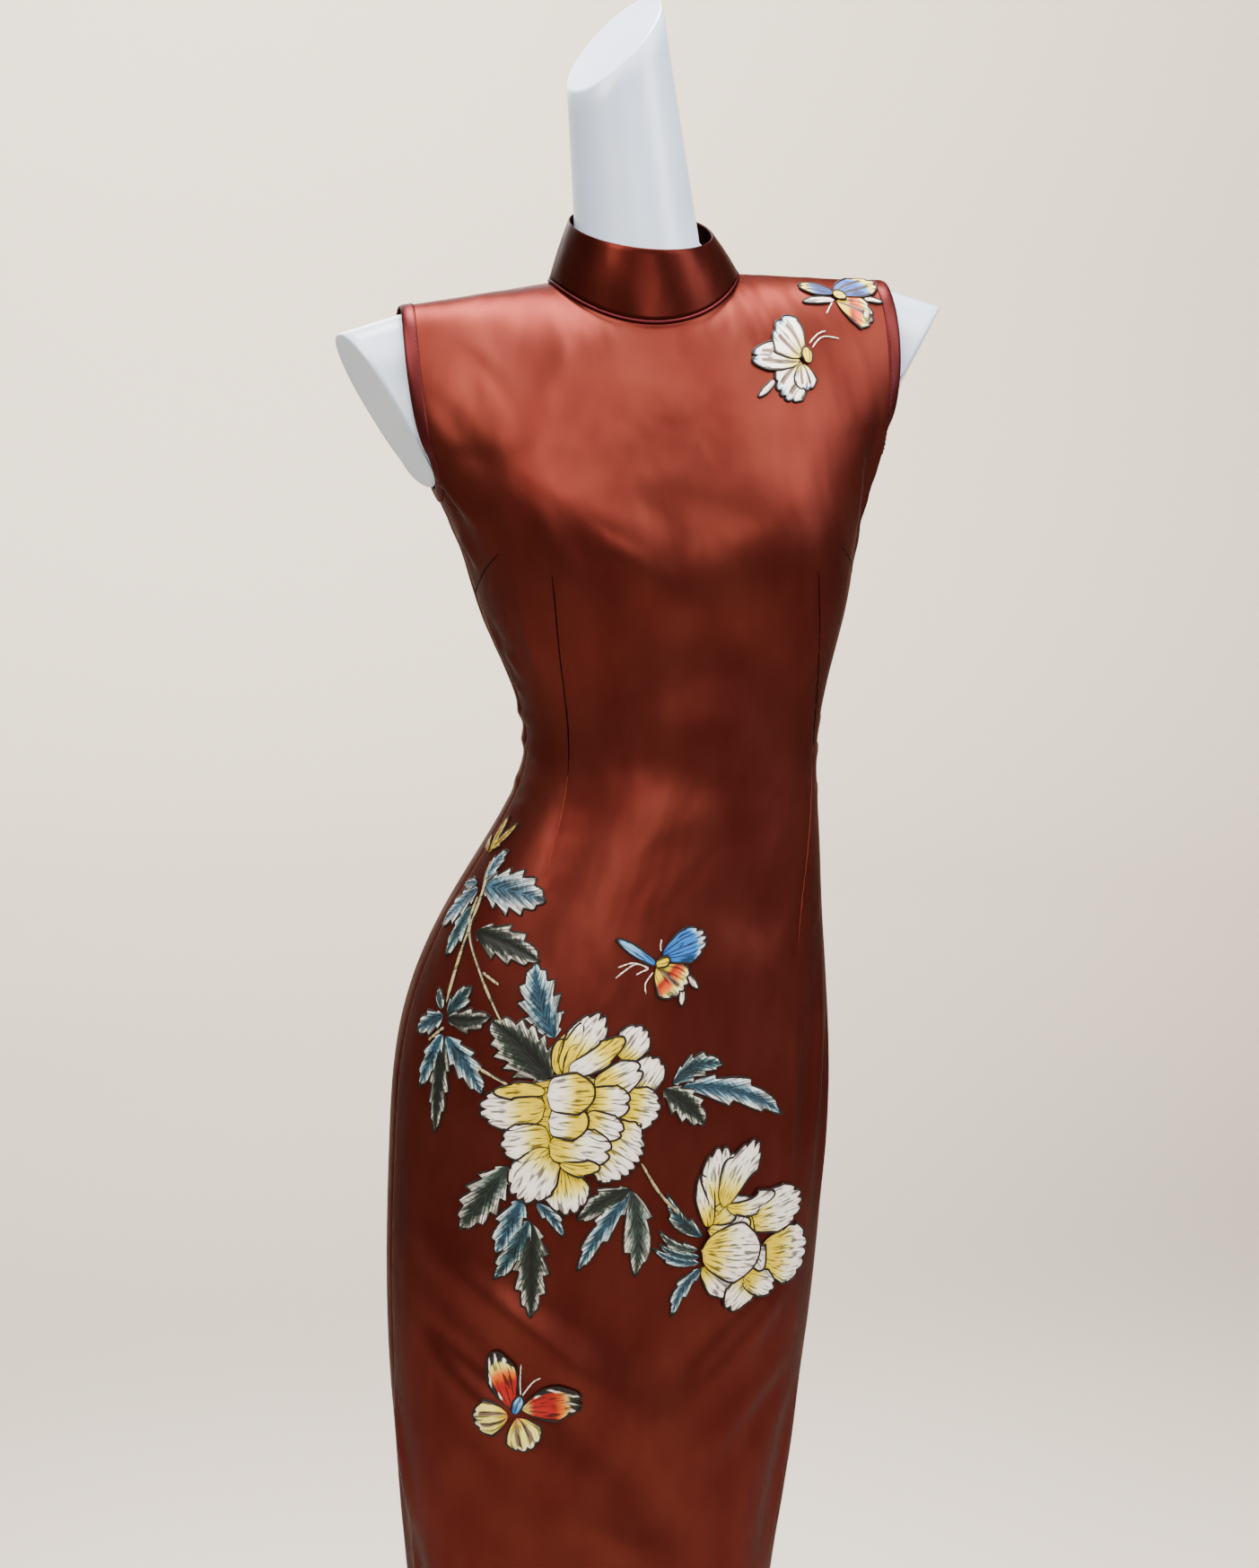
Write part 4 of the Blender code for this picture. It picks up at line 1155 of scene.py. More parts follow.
CUT_RINGS = (0, 0.03, 0.4, 0.75, 0.95)  # shares of the way to a cut's middle
MERGE_REACH = 0.2 * MM  # within which points of two panels become one
POLE_RADIUS = 12.5 * MM
POLE_TOP = 645 * MM  # a little inside the form
POLE_BEVEL = 1 * MM
POLE_FOOT = (1.5 * MM, 2 * MM)  # the turned-down foot: how much thinner it is, and its length
BASE_RADIUS = 175 * MM
BASE_HEIGHT = 8 * MM
BASE_BEVEL = 1.6 * MM
BOSS_RADIUS = 26 * MM
BOSS_HEIGHT = 3 * MM
BOSS_EDGE = 4 * MM
NEAR = 1 * MM  # within which an edge belongs to the rim or the boss
LEVEL = 0.1 * MM  # and two points to one level


def open_loops(bm):
    """The mesh's boundary edges, gathered into loops of points in their order."""
    left = dict.fromkeys(edge for edge in bm.edges if edge.is_boundary)
    loops = []
    while left:
        edge, _ = left.popitem()
        first, here = edge.verts
        loop = [first]
        while here is not first:
            loop.append(here)
            edge = next(e for e in here.link_edges if e in left)
            del left[edge]
            here = edge.other_vert(here)
        loops.append(loop)
    return loops


def draw_out(bm, loop, rings):
    """Joins a loop of points to further rings of places, and closes the last one."""
    last = loop
    for places in rings:
        fresh = [bm.verts.new(place) for place in places]
        for i in range(len(last)):
            j = (i + 1) % len(last)
            bm.faces.new((last[i], last[j], fresh[j], fresh[i]))
        last = fresh
    bm.faces.new(last)


def bevelled(ring, inward):
    """A cut end's last rings: its edge, drawn back a little, then rings over the flat cut."""
    centre = ring.mean(axis=0)
    narrow = ring + unit(centre - ring) * CUT_BEVEL
    cut = [narrow + (centre - narrow) * share for share in CUT_RINGS]
    return [ring + inward * CUT_BEVEL, *cut]


def stub_rings(starts, mirror):
    """Rings of a shoulder cap, from the armhole's edge to its slanted cut."""
    drop, cut, turn = radians(STUB_DROP), radians(STUB_CUT), radians(STUB_TURN)
    axis = np.array([mirror * cos(drop), 0, -sin(drop)])
    face = np.array([mirror * cos(cut) * cos(turn), -cos(cut) * sin(turn), -sin(cut)])
    tip = pose(mm(*SHOULDER_TIP) * np.array([mirror, 1, 1]))
    reach = np.maximum((tip + axis * STUB_REACH - starts) @ face / (axis @ face), STUB_LEAST)
    rings = [starts + axis * reach[:, None] * share for share in np.linspace(0, 1, STUB_ROWS + 1)]
    return rings[1:-1] + bevelled(rings[-1], -axis)


def neck_rings(starts):
    """Rings from the neckline up the neck to its slanted cut."""
    middle = pose(mm(*NECK_RING))
    gone = starts - middle
    angle = np.arctan2(gone[:, 0], -gone[:, 1])
    around = vectors(np.sin(angle), -np.cos(angle), 0)
    ring = middle + around * NECK_RING_RADIUS
    top = pose(mm(*NECK_TOP)) + around * NECK_TOP_RADIUS
    top[:, 2] += around[:, :2] @ np.array(NECK_CUT_RISE) * NECK_TOP_RADIUS
    column = [ring + (top - ring) * share for share in np.linspace(0, 1, NECK_ROWS + 1)]
    down = unit(middle - pose(mm(*NECK_TOP)))
    return [starts + (ring - starts) * NECK_ROOT] + column[:-1] + bevelled(column[-1], down)


def dress_form(panels, mat):
    """The form's shell: the cloth's inner face eased inward, with its neck and two shoulder caps."""
    bm = bmesh.new()
    for panel in panels:
        points = panel.inner[FORM_FIRST_ROW::FORM_STEP, ::FORM_STEP]
        kept = panel.kept[FORM_FIRST_ROW::FORM_STEP, ::FORM_STEP]
        verts = [bm.verts.new(p) for p in points.reshape(-1, 3)]
        for quad in outward_quads(panel.side, kept):
            bm.faces.new([verts[i] for i in quad])
    bmesh.ops.delete(bm, geom=[v for v in bm.verts if not v.link_faces], context="VERTS")
    bmesh.ops.remove_doubles(bm, verts=bm.verts, dist=MERGE_REACH)
    bm.normal_update()
    eases = []
    for vert in bm.verts:
        top = smooth(1 - (SHOULDER_TOP - vert.co.z) / SHOULDER_REACH)
        eases.append(vert.normal * (EASE + (SHOULDER_EASE - EASE) * top))
    for vert, ease in zip(bm.verts, eases):
        vert.co -= ease
    neck_x = pose(mm(*NECK_RING))[0]
    for loop in open_loops(bm):
        starts = np.array([vert.co for vert in loop])
        centre = starts.mean(axis=0)
        if centre[2] < CHEST / 2:
            foot = starts - np.array([0, 0, FORM_FOOT])
            draw_out(bm, loop, [foot, foot + unit(centre - starts) * FORM_FOOT])
            continue
        starts += unit(centre - starts) * EDGE_EASE
        for vert, place in zip(loop, starts):
            vert.co = place
        if abs(centre[0] - neck_x) < NECK_RING_RADIUS:
            draw_out(bm, loop, neck_rings(starts))
        else:
            draw_out(bm, loop, stub_rings(starts, 1 if centre[0] > neck_x else -1))
    bmesh.ops.recalc_face_normals(bm, faces=bm.faces)
    for face in bm.faces:
        face.smooth = len(face.verts) == 4
    mesh = bpy.data.meshes.new("form_shell")
    bm.to_mesh(mesh)
    bm.free()
    mesh.materials.append(mat)
    obj = link("form_shell", mesh)
    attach(obj, ROOT)
    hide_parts("form_body")
    return obj


def start_cylinder(name, radius, low, high, segments, mat):
    """A new upright cylinder, alone selected, with edit mode open."""
    bpy.ops.object.select_all(action="DESELECT")
    bpy.ops.mesh.primitive_cylinder_add(vertices=segments, radius=radius, depth=high - low,
                                        location=(0, 0, (low + high) / 2))
    obj = bpy.context.object
    obj.name = obj.data.name = name
    obj.data.materials.append(mat)
    bpy.ops.object.transform_apply(location=True, rotation=False, scale=False)
    bpy.ops.object.mode_set(mode="EDIT")
    return obj


def select_parts(obj, kind, wanted):
    """In edit mode, selects the faces or edges that pass a test."""
    bpy.ops.mesh.select_mode(type=kind)
    bpy.ops.mesh.select_all(action="DESELECT")
    bm = bmesh.from_edit_mesh(obj.data)
    for part in bm.faces if kind == "FACE" else bm.edges:
        if wanted(part):
            part.select_set(True)
    bmesh.update_edit_mesh(obj.data)


def finish_hard_piece(obj, node):
    """Leaves edit mode, and lets the piece ride and stand for its node."""
    bpy.ops.object.mode_set(mode="OBJECT")
    bpy.ops.object.shade_smooth_by_angle(angle=radians(30))
    bpy.ops.object.select_all(action="DESELECT")
    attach(obj, ROOT)
    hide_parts(node)


def stand_base(mat):
    """The round base: a turned plate with a rounded rim and a low boss where the pole is screwed in."""
    obj = start_cylinder("stand_base_plate", BASE_RADIUS, 0, BASE_HEIGHT, 128, mat)
    select_parts(obj, "FACE", lambda face: face.normal.z > 0.9)
    bpy.ops.mesh.inset(thickness=BASE_RADIUS - BOSS_RADIUS)
    bpy.ops.mesh.extrude_region_move(TRANSFORM_OT_translate={"value": (0, 0, BOSS_HEIGHT)})
    bpy.ops.mesh.inset(thickness=BOSS_EDGE)

    def is_rim(edge):
        at = [v.co for v in edge.verts]
        level = abs(at[0].z - at[1].z) < LEVEL
        wide = all(v.xy.length > BASE_RADIUS - NEAR for v in at)
        boss = all(abs(v.xy.length - BOSS_RADIUS) < NEAR and v.z > BASE_HEIGHT + NEAR for v in at)
        return level and (wide or boss)

    select_parts(obj, "EDGE", is_rim)
    bpy.ops.mesh.bevel(offset=BASE_BEVEL, segments=4, affect="EDGES")
    finish_hard_piece(obj, "form_base")


def stand_pole(mat):
    """The pole: a drawn tube with a turned-down foot."""
    obj = start_cylinder("stand_pole", POLE_RADIUS, BASE_HEIGHT, POLE_TOP, 64, mat)
    select_parts(obj, "FACE", lambda face: face.normal.z < -0.9)
    bpy.ops.mesh.inset(thickness=POLE_FOOT[0])
    bpy.ops.mesh.extrude_region_move(TRANSFORM_OT_translate={"value": (0, 0, -POLE_FOOT[1])})
    select_parts(obj, "EDGE", lambda edge: all(abs(v.co.z - POLE_TOP) < LEVEL for v in edge.verts))
    bpy.ops.mesh.bevel(offset=POLE_BEVEL, segments=3, affect="EDGES")
    finish_hard_piece(obj, "form_pole")


# ---------------------------------------------------------------- embroidery

# Raised silk embroidery of the kind that peonies and butterflies are traditionally worked in. All
# places are in mm on the flat front: along from the middle line and height. Petals, leaves and wings
# are drawn by formula, from where they start, where they point and how wide they are.
THREAD_COLOURS = {
    "white": "#D0CCC4",
    "blush": "#C9B7B0",
    "cream": "#C8C05E",
    "yellow": "#BAA300",
    "khaki": "#8F855F",
    # a dark outline thread, which also paints the shadow round each raised motif
    "outline_and_shadow": "#140A08",
    "cobalt": "#083886",
    "azure": "#165BA4",
    "sky": "#669EC3",
    "navy": "#10264A",
    "umber": "#5A483C",
    "orange": "#B84D03",
    "red": "#810804",
    "black": "#161010",
}
# Each leaf shades from its midrib to its edge through three threads.
LEAF_COLOURS = {
    "pale": ("#305165", "#8DA9B5", "#D2CFCB"),
    "blue": ("#17384A", "#789EAF", "#CDCFCD"),
    "teal": ("#0D2932", "#40656B", "#BDC4BF"),
    "dark": ("#080F0C", "#23352B", "#B8B7AC"),
    "grey": ("#1B2A26", "#607169", "#C8C3BA"),
    "lemon": ("#775B08", "#BD9F1B", "#CFC167"),
}
LAYER = 0.55 * MM  # between one layer of embroidery and the next
GROUND = 0.55 * MM  # from the satin to the face of the first layer
PADDING = 0.8 * MM  # that a petal or leaf rounds up over its padding
FLOSS_WALL = 0.4 * MM
OUTLINE_RADIUS = 1.0 * MM
MIDRIB_RADIUS = 0.45 * MM
STEM_RADIUS = 1.1 * MM
STEM_EDGE = 1.6 * MM  # radius of the dark cord under a stem: its outline, which also paints the shadow beside it
STEM_TWIST = 5 * MM  # length of one turn of its cord
FEELER_RADIUS = 0.55 * MM

PETAL_ROWS, PETAL_COLUMNS = 20, 24
ROUND_ROOT = 0.17  # share of a petal's length over which its root rounds out to its width
TIP_ROUNDING = 0.36  # share of its length by which its sides end short of its tip
NOTCH_DEPTH = 0.11  # and that the notches between its scallops reach in
FRILL = 0.05  # share of its width that its sides ripple
LEAF_ROWS, LEAF_COLUMNS = 34, 14
LEAF_SLANT = 2.0  # that a leaf's stitches run forward for each mm outward
TOOTH_DEPTH = 0.55  # share of a leaf's half-width, from the foot of a tooth to its tip


def thread_colour(name):
    """A thread's linear colour, with alpha."""
    return np.array(linear(THREAD_COLOURS[name]))


def blend(low, high, share):
    """Two colours mixed; share is a whole grid of places from one to the other."""
    share = np.asarray(share, float)[..., None]
    return low * (1 - share) + high * share


class Stitchwork:
    """Gathers patches of satin stitch, and the cords laid round them, into a few joined meshes."""

    def __init__(self, panel):
        self.panel = panel
        self.patches = defaultdict(list)
        self.cords = defaultdict(list)

    def lay(self, a, h, lift, uv, colours, layer):
        """A patch over a grid of places on the flat cloth."""
        points = self.panel.at(a * MM, h * MM, GROUND + layer * LAYER + lift)
        faces = grid_faces(*a.shape)
        spread = np.cross(points[-1, -1] - points[0, 0], points[-1, 0] - points[0, -1])
        corner = a[0, 0] * MM, h[0, 0] * MM
        way = self.panel.at(*corner, 1.0) - self.panel.at(*corner)
        if spread @ way < 0:
            faces = [face[::-1] for face in faces]
        colours = np.broadcast_to(colours, points.shape[:-1] + (4,)).reshape(-1, 4)
        gather(self.patches, points, faces, uv=uv * MM, colours=colours)

    def line(self, a, h, radius, colour, layer=0, twist=0.0, sides=5):
        """A cord laid on the cloth through places, thinner at its ends, twisted if it has a pitch."""
        lift = GROUND + layer * LAYER
        path = self.panel.at(np.asarray(a) * MM, np.asarray(h) * MM, np.full(len(a), lift))
        share = np.linspace(0, 1, len(path))
        length = arc_lengths(path)
        size = radius * (0.35 + 0.65 * smooth(share * 8) * smooth((1 - share) * 8))
        if twist:
            size = size * (1 + 0.18 * np.sin(2 * pi * length / twist))
        rings = tube_rings(path, size, sides, LAID_UP)
        turn = np.arange(sides) / sides * 2 * pi * radius
        uv = pairs(length[:, None] + turn[None, :], turn[None, :])
        colours = [colour] * (len(path) * sides)
        gather(self.cords, rings, tube_faces(len(path), sides), uv=uv, colours=colours)

    def outline_and_shadow(self, a, h, layer):
        """The dark cord round a petal or a leaf, through its border's places: an outline that also paints
        the shadow at the raised edge.
        """
        self.line(a, h, OUTLINE_RADIUS, thread_colour("outline_and_shadow"), layer)

    def petal(self, x, h, direction, length, half_width, root, bow, scallops, colour, layer):
        """A rounded patch of long and short stitches from (x, h), scalloped and outlined in black, which
        also paints its shadow.

        It starts with a share, root, of its full half-width, and bows to its left by a share of its length.
        """
        r = np.linspace(0, 1, PETAL_ROWS)[:, None]
        w = np.linspace(-1, 1, PETAL_COLUMNS + 1)[None, :]
        lobes = np.abs(np.sin(scallops * pi * (w + 1) / 2 + 0.2 * np.sin(5 * w)))
        notches = NOTCH_DEPTH * (1 - lobes) ** 2 * np.cos(0.5 * pi * w**3)
        forward = length * r * (1 - (TIP_ROUNDING * np.abs(w) ** 2.6 + notches) * r**2)
        fullness = root + (1 - root) * np.sin(0.5 * pi * np.minimum(r / 0.7, 1))
        fullness = fullness * (0.1 + 0.9 * np.sqrt(1 - (1 - np.minimum(r / ROUND_ROOT, 1)) ** 2))
        frill = 1 + FRILL * r * np.sin(2 * pi * (0.45 * scallops * r + 0.2 * np.sign(w)))
        across = half_width * w * fullness * frill + 4 * bow * length * r * (1 - r)
        run_a, run_h = cos(radians(direction)), sin(radians(direction))
        a = x + forward * run_a - across * run_h
        up = h + forward * run_h + across * run_a
        padded = smooth(r * 2.6) * (1 - 0.75 * np.abs(w) ** 6) * (1 - 0.6 * r**10)
        ripple = 0.25 * np.sin(scallops * pi * (w + 1)) * r
        lift = PADDING * (padded + ripple * padded)
        uv = pairs(w * half_width * (0.75 + 0.25 * root) + x, forward + h)
        self.lay(a, up, lift, uv, colour(*np.broadcast_arrays(r, w)), layer)
        border_a = np.concatenate([a[:, 0], a[-1, 1:], a[-2::-1, -1]])
        border_h = np.concatenate([up[:, 0], up[-1, 1:], up[-2::-1, -1]])
        self.outline_and_shadow(border_a, border_h, layer + 0.4)

    def leaf(self, a0, h0, a1, h1, half_width, tone, bow=0.0, teeth=5, layer=0):
        """A pointed, toothed leaf in two padded halves, stitched forward and outward from its midrib."""
        t = np.linspace(0, 1, LEAF_ROWS)[:, None]
        w = np.linspace(-1, 1, LEAF_COLUMNS + 1)[None, :]
        run = np.array([a1 - a0, h1 - h0], float)
        length = np.sqrt(run @ run)
        run /= length
        across = np.array([-run[1], run[0]])
        saw = (teeth * t + 0.35 * np.sign(w)) % 1.0
        width = half_width * np.sin(pi * t**0.8) ** 0.75 * (1 + TOOTH_DEPTH * (saw - 0.5) * np.abs(w) ** 3)
        bend = bow * length * 4 * t * (1 - t)
        forward = t * length + 0.25 * np.abs(w) * width
        a = a0 + run[0] * forward + across[0] * (w * width + bend)
        up = h0 + run[1] * forward + across[1] * (w * width + bend)
        lift = PADDING * (0.25 + np.sin(pi * np.abs(w) ** 0.8)) * smooth(6 * t) * smooth(6 * (1 - t))
        stitch = t * length - LEAF_SLANT * np.abs(w) * width
        uv = pairs(0.6 * stitch + a0, np.abs(w) * width + h0)
        core, middle, rim = (np.array(linear(colour)) for colour in LEAF_COLOURS[tone])
        uneven = np.sin(2.3 * stitch + 2 * np.sin(0.9 * stitch + a0))
        out = np.abs(w) + 0.16 * uneven + 0.3 * (t - 0.5)
        colours = blend(blend(core, middle, smooth((out - 0.3) / 0.3)), rim, smooth((out - 0.6) / 0.25))
        self.lay(a, up, lift, uv, colours, layer)
        border_a = np.concatenate([a[:, 0], a[::-1, -1]])
        border_h = np.concatenate([up[:, 0], up[::-1, -1]])
        self.outline_and_shadow(border_a, border_h, layer - 0.3)
        midrib = LEAF_COLUMNS // 2
        self.line(a[:-3, midrib], up[:-3, midrib], MIDRIB_RADIUS, core, layer + 0.5)

    def pieces(self, name, floss, twist):
        """The two joined meshes: the stitches in floss, and the cords in twisted silk."""
        patches = give_wall(make_piece(f"{name}_stitches", mat=floss, **self.patches), FLOSS_WALL)
        cords = make_piece(f"{name}_cords", mat=twist, **self.cords)


def peony_colour(warmth):
    """Yellow at the petal's root, cream, then white: warmth is how far out the yellow reaches.

    With warmth below 0, the yellow is at the petal's tip and reaches inward.
    """
    yellow, cream, white, blush = map(thread_colour, ("yellow", "cream", "white", "blush"))

    def colour(r, w):
        away_from = r if warmth >= 0 else 1 - r
        far = abs(warmth)
        warm = blend(yellow, cream, smooth((away_from - 0.8 * far + 0.05 * np.sin(19 * w)) / 0.25))
        cool = blend(white, blush, smooth(2.5 * (r - 0.75)))
        share = smooth((away_from - 0.15 - 0.75 * far + 0.06 * np.sin(23 * w)) / 0.3)[..., None]
        return warm * (1 - share) + cool * share

    return colour


# Petals of the peonies, in mm from the flower's middle: where each starts, the way it points in degrees,
# its length and half-width, its root's share of that width, its bow, its scallops, how far its yellow
# reaches, and its layer.
OPEN_PEONY = (  # x, y, direction, length, half_width, root, bow, scallops, warmth, layer
    (-38, -6, 2, 74, 32, 0.8, 0, 1, 0.9, -0.5),
    (-22, 2, 185, 50, 17, 0.7, 0, 4, 0.35, 0.4),
    (-22, 13, 182, 39, 6, 0.6, -0.06, 1, 1.0, 1.8),
    (-13, 25, 69, 43, 6, 0.7, 0.16, 1, 0.8, 0.4),
    (-10, 27, 58, 53, 15, 0.35, 0, 4, 0.4, 0.8),
    (34, 37, 52, 29, 14, 0.6, 0, 4, 0.15, 0),
    (-5, 28, 31, 48, 9, 0.7, -0.06, 1, -0.35, 2.6),
    (45, 8, 55, 34, 14, 0.7, 0, 3, 0.15, 0),
    (15, 14, 22, 39, 13, 0.6, 0, 2, 0.4, 1.8),
    (35, 1, 347, 33, 17, 0.8, 0, 4, 0.45, 0.8),
    (9, 4, 357, 34, 14, 0.8, 0, 2, 0.35, 2.4),
    (7, -9, 339, 33, 11, 0.8, 0, 2, 0.3, 3.2),
    (-17, -24, 188, 38, 15, 0.7, 0, 3, 0.3, 0.8),
    (-15, -32, 237, 47, 19, 0.45, 0, 5, 0.15, 1.4),
    (-7, -45, 281, 39, 17, 0.4, 0, 4, 0.5, 0.6),
    (14, -21, 325, 45, 26, 0.6, 0, 8, 0.4, 1.4),
    (-18, -27, 350, 48, 16, 0.75, 0, 2, 0.25, 3.6),
    (-10, -43, 353, 31, 6, 0.4, -0.08, 1, 1.0, 5.2),
    (-19, -9, 357, 30, 14, 0.8, 0, 1, -0.4, 5.0),
    (-21, 11, 3, 36, 16, 0.75, 0, 1, -0.4, 6.0),
)
BUD_PEONY = (  # the same columns
    (-38, 8, 20, 46, 18, 0.8, 0, 1, 0.3, -0.2),
    (-37, 11, 103, 44, 8, 0.5, 0, 1, 0.25, 0.2),
    (-30, 23, 90, 52, 17, 0.3, 0, 4, 0.3, 0.8),
    (-27, 26, 60, 58, 14, 0.35, 0.08, 4, 0.2, 1.8),
    (10, -17, 348, 60, 24, 0.4, 0, 5, 0.4, 0.4),
    (-7, 14, 4, 63, 19, 0.5, 0, 5, 0.2, 1.2),
    (-24, 26, 6, 46, 7, 0.6, -0.12, 1, 0.2, 2.8),
    (-39, 9, 3, 38, 9, 0.7, -0.16, 1, 0.1, 3.2),
    (-6, 17, 292, 52, 10, 0.7, -0.12, 1, 0.15, 3.6),
    (-42, -21, 317, 38, 11, 0.3, 0, 2, 0.15, 0.4),
    (5, -28, 237, 38, 14, 0.6, 0.08, 2, 0.35, 1.4),
    (-3, -33, 332, 35, 11, 0.7, 0, 3, 0.3, 2.2),
    (-44, -6, 350, 54, 24, 0.4, 0, 1, 0.25, 4.8),
)
PEONIES = ((OPEN_PEONY, -67, 787), (BUD_PEONY, 84, 673))

# Leaves, in mm, from root to tip, with their tone and their teeth on each side.
LEAVES = (  # from_a, from_h, to_a, to_h, half_width, tone, bow, teeth
    (-175, 973, -197, 990, 4, "lemon", 0.0, 1),
    (-172, 972, -163, 1001, 4, "lemon", 0.0, 1),
    (-172, 975, -146, 998, 3, "lemon", -0.05, 1),
    (-164, 950, -147, 978, 6, "pale", 0.05, 3),
    (-162, 950, -104, 944, 15, "pale", 0.04, 5),
    (-168, 947, -206, 914, 9, "pale", 0.0, 4),
    (-168, 934, -184, 895, 8, "teal", 0.0, 3),
    (-172, 950, -192, 946, 4, "pale", 0.0, 1),
    (-157, 917, -101, 899, 12, "dark", 0.05, 4),
    (-84, 841, -104, 898, 14, "blue", 0.06, 5),
    (-85, 809, -133, 853, 18, "dark", -0.03, 6),
    (-171, 853, -152, 877, 7, "teal", 0.0, 2),
    (-171, 850, -134, 856, 8, "dark", -0.06, 3),
    (-175, 852, -204, 836, 8, "blue", 0.0, 3),
    (-177, 856, -184, 871, 4, "teal", 0.0, 1),
    (-174, 838, -194, 794, 8, "blue", 0.0, 3),
    (-172, 836, -176, 761, 8, "dark", 0.0, 5),
    (-170, 837, -137, 796, 10, "blue", 0.04, 4),
    (10, 802, 52, 813, 9, "teal", 0.16, 4),
    (18, 799, 111, 766, 10, "blue", 0.08, 3),
    (3, 798, 38, 767, 11, "dark", 0.06, 4),
    (-116, 741, -151, 689, 14, "grey", 0.0, 5),
    (-104, 716, -122, 672, 10, "blue", 0.0, 3),
    (-98, 699, -122, 652, 9, "teal", 0.03, 3),
    (-96, 697, -93, 623, 12, "dark", 0.0, 5),
    (-93, 713, -71, 686, 5, "blue", 0.06, 1),
    (-21, 721, -61, 699, 10, "dark", -0.05, 3),
    (-20, 719, -59, 658, 8, "blue", -0.04, 3),
    (-20, 720, -13, 651, 11, "grey", 0.05, 2),
    (41, 677, 9, 715, 6, "teal", 0.1, 1),
    (38, 667, 4, 686, 4, "grey", 0.12, 1),
    (40, 661, 5, 675, 4, "teal", 0.1, 1),
    (40, 656, 0, 672, 4, "blue", 0.08, 1),
    (42, 652, 19, 615, 6, "blue", -0.12, 3),
)
STEMS = (
    ((-164, 967), (-161, 941), (-168, 894), (-173, 862)),
    ((-165, 941), (-164, 918), (-146, 887), (-124, 850)),
    ((-143, 817), (-117, 804)),
    ((-13, 741), (3, 716), (21, 697)),
    ((-144, 888), (-130, 880)),
    ((-187, 831), (-173, 843)),
)


def wing_colour(*stops, veins=0, vein="umber", spots=0):
    """Bands of thread out from a wing's root, through (place, colour) stops.

    A wing may have dark veins between its root and its rim, and a black rim that carries white spots.
    """

    def colour(r, w):
        result = thread_colour(stops[0][1]) + 0 * r[..., None]
        for (place, name), (next_place, next_name) in zip(stops, stops[1:]):
            share = smooth((r - place) / (next_place - place))
            step = blend(thread_colour(name), thread_colour(next_name), share)
            result = np.where((r >= place)[..., None], step, result)
        if veins:
            on_vein = (np.cos(veins * pi * (w + 1)) > 0.7) & (r < 0.8)
            result = np.where(on_vein[..., None], thread_colour(vein), result)
        if spots:
            rim = (r > 0.82) | (w > 0.7) & (r > 0.25)
            spot = np.sin(spots * pi * (w + 1) + 16 * r) > 0.55
            dark = np.where(spot[..., None], thread_colour("white"), thread_colour("black"))
            result = np.where(rim[..., None], dark, result)
        return result

    return colour


BLUE_WING = wing_colour((0, "cobalt"), (0.3, "azure"), (0.76, "azure"), (0.86, "sky"), (0.95, "blush"),
                        veins=4, vein="black")
SUNLIT_WING = wing_colour((0, "cobalt"), (0.5, "cobalt"), (0.66, "azure"), (0.8, "yellow"), (1, "cream"),
                          veins=3, vein="black")
FIERY_WING = wing_colour((0, "yellow"), (0.25, "yellow"), (0.4, "red"), (0.64, "orange"), (0.8, "cream"),
                         (1, "white"), veins=2)
AMBER_WING = wing_colour((0, "red"), (0.45, "red"), (0.6, "orange"), (0.8, "cream"), spots=4)
RED_WING = wing_colour((0, "cream"), (0.2, "red"), (0.55, "red"), (0.7, "orange"), (0.85, "cream"), spots=4)
CREAM_WING = wing_colour((0, "orange"), (0.2, "yellow"), (0.4, "cream"), (0.8, "cream"), (1, "white"),
                         veins=3)
WHITE_WING = wing_colour((0, "yellow"), (0.2, "cream"), (0.4, "white"), (0.8, "white"), (1, "sky"), veins=3)
BODY_BLUE = wing_colour((0, "azure"), (1, "sky"))
BODY_YELLOW = wing_colour((0, "yellow"), (1, "yellow"))
TAIL_WHITE = wing_colour((0, "blush"), (1, "white"))

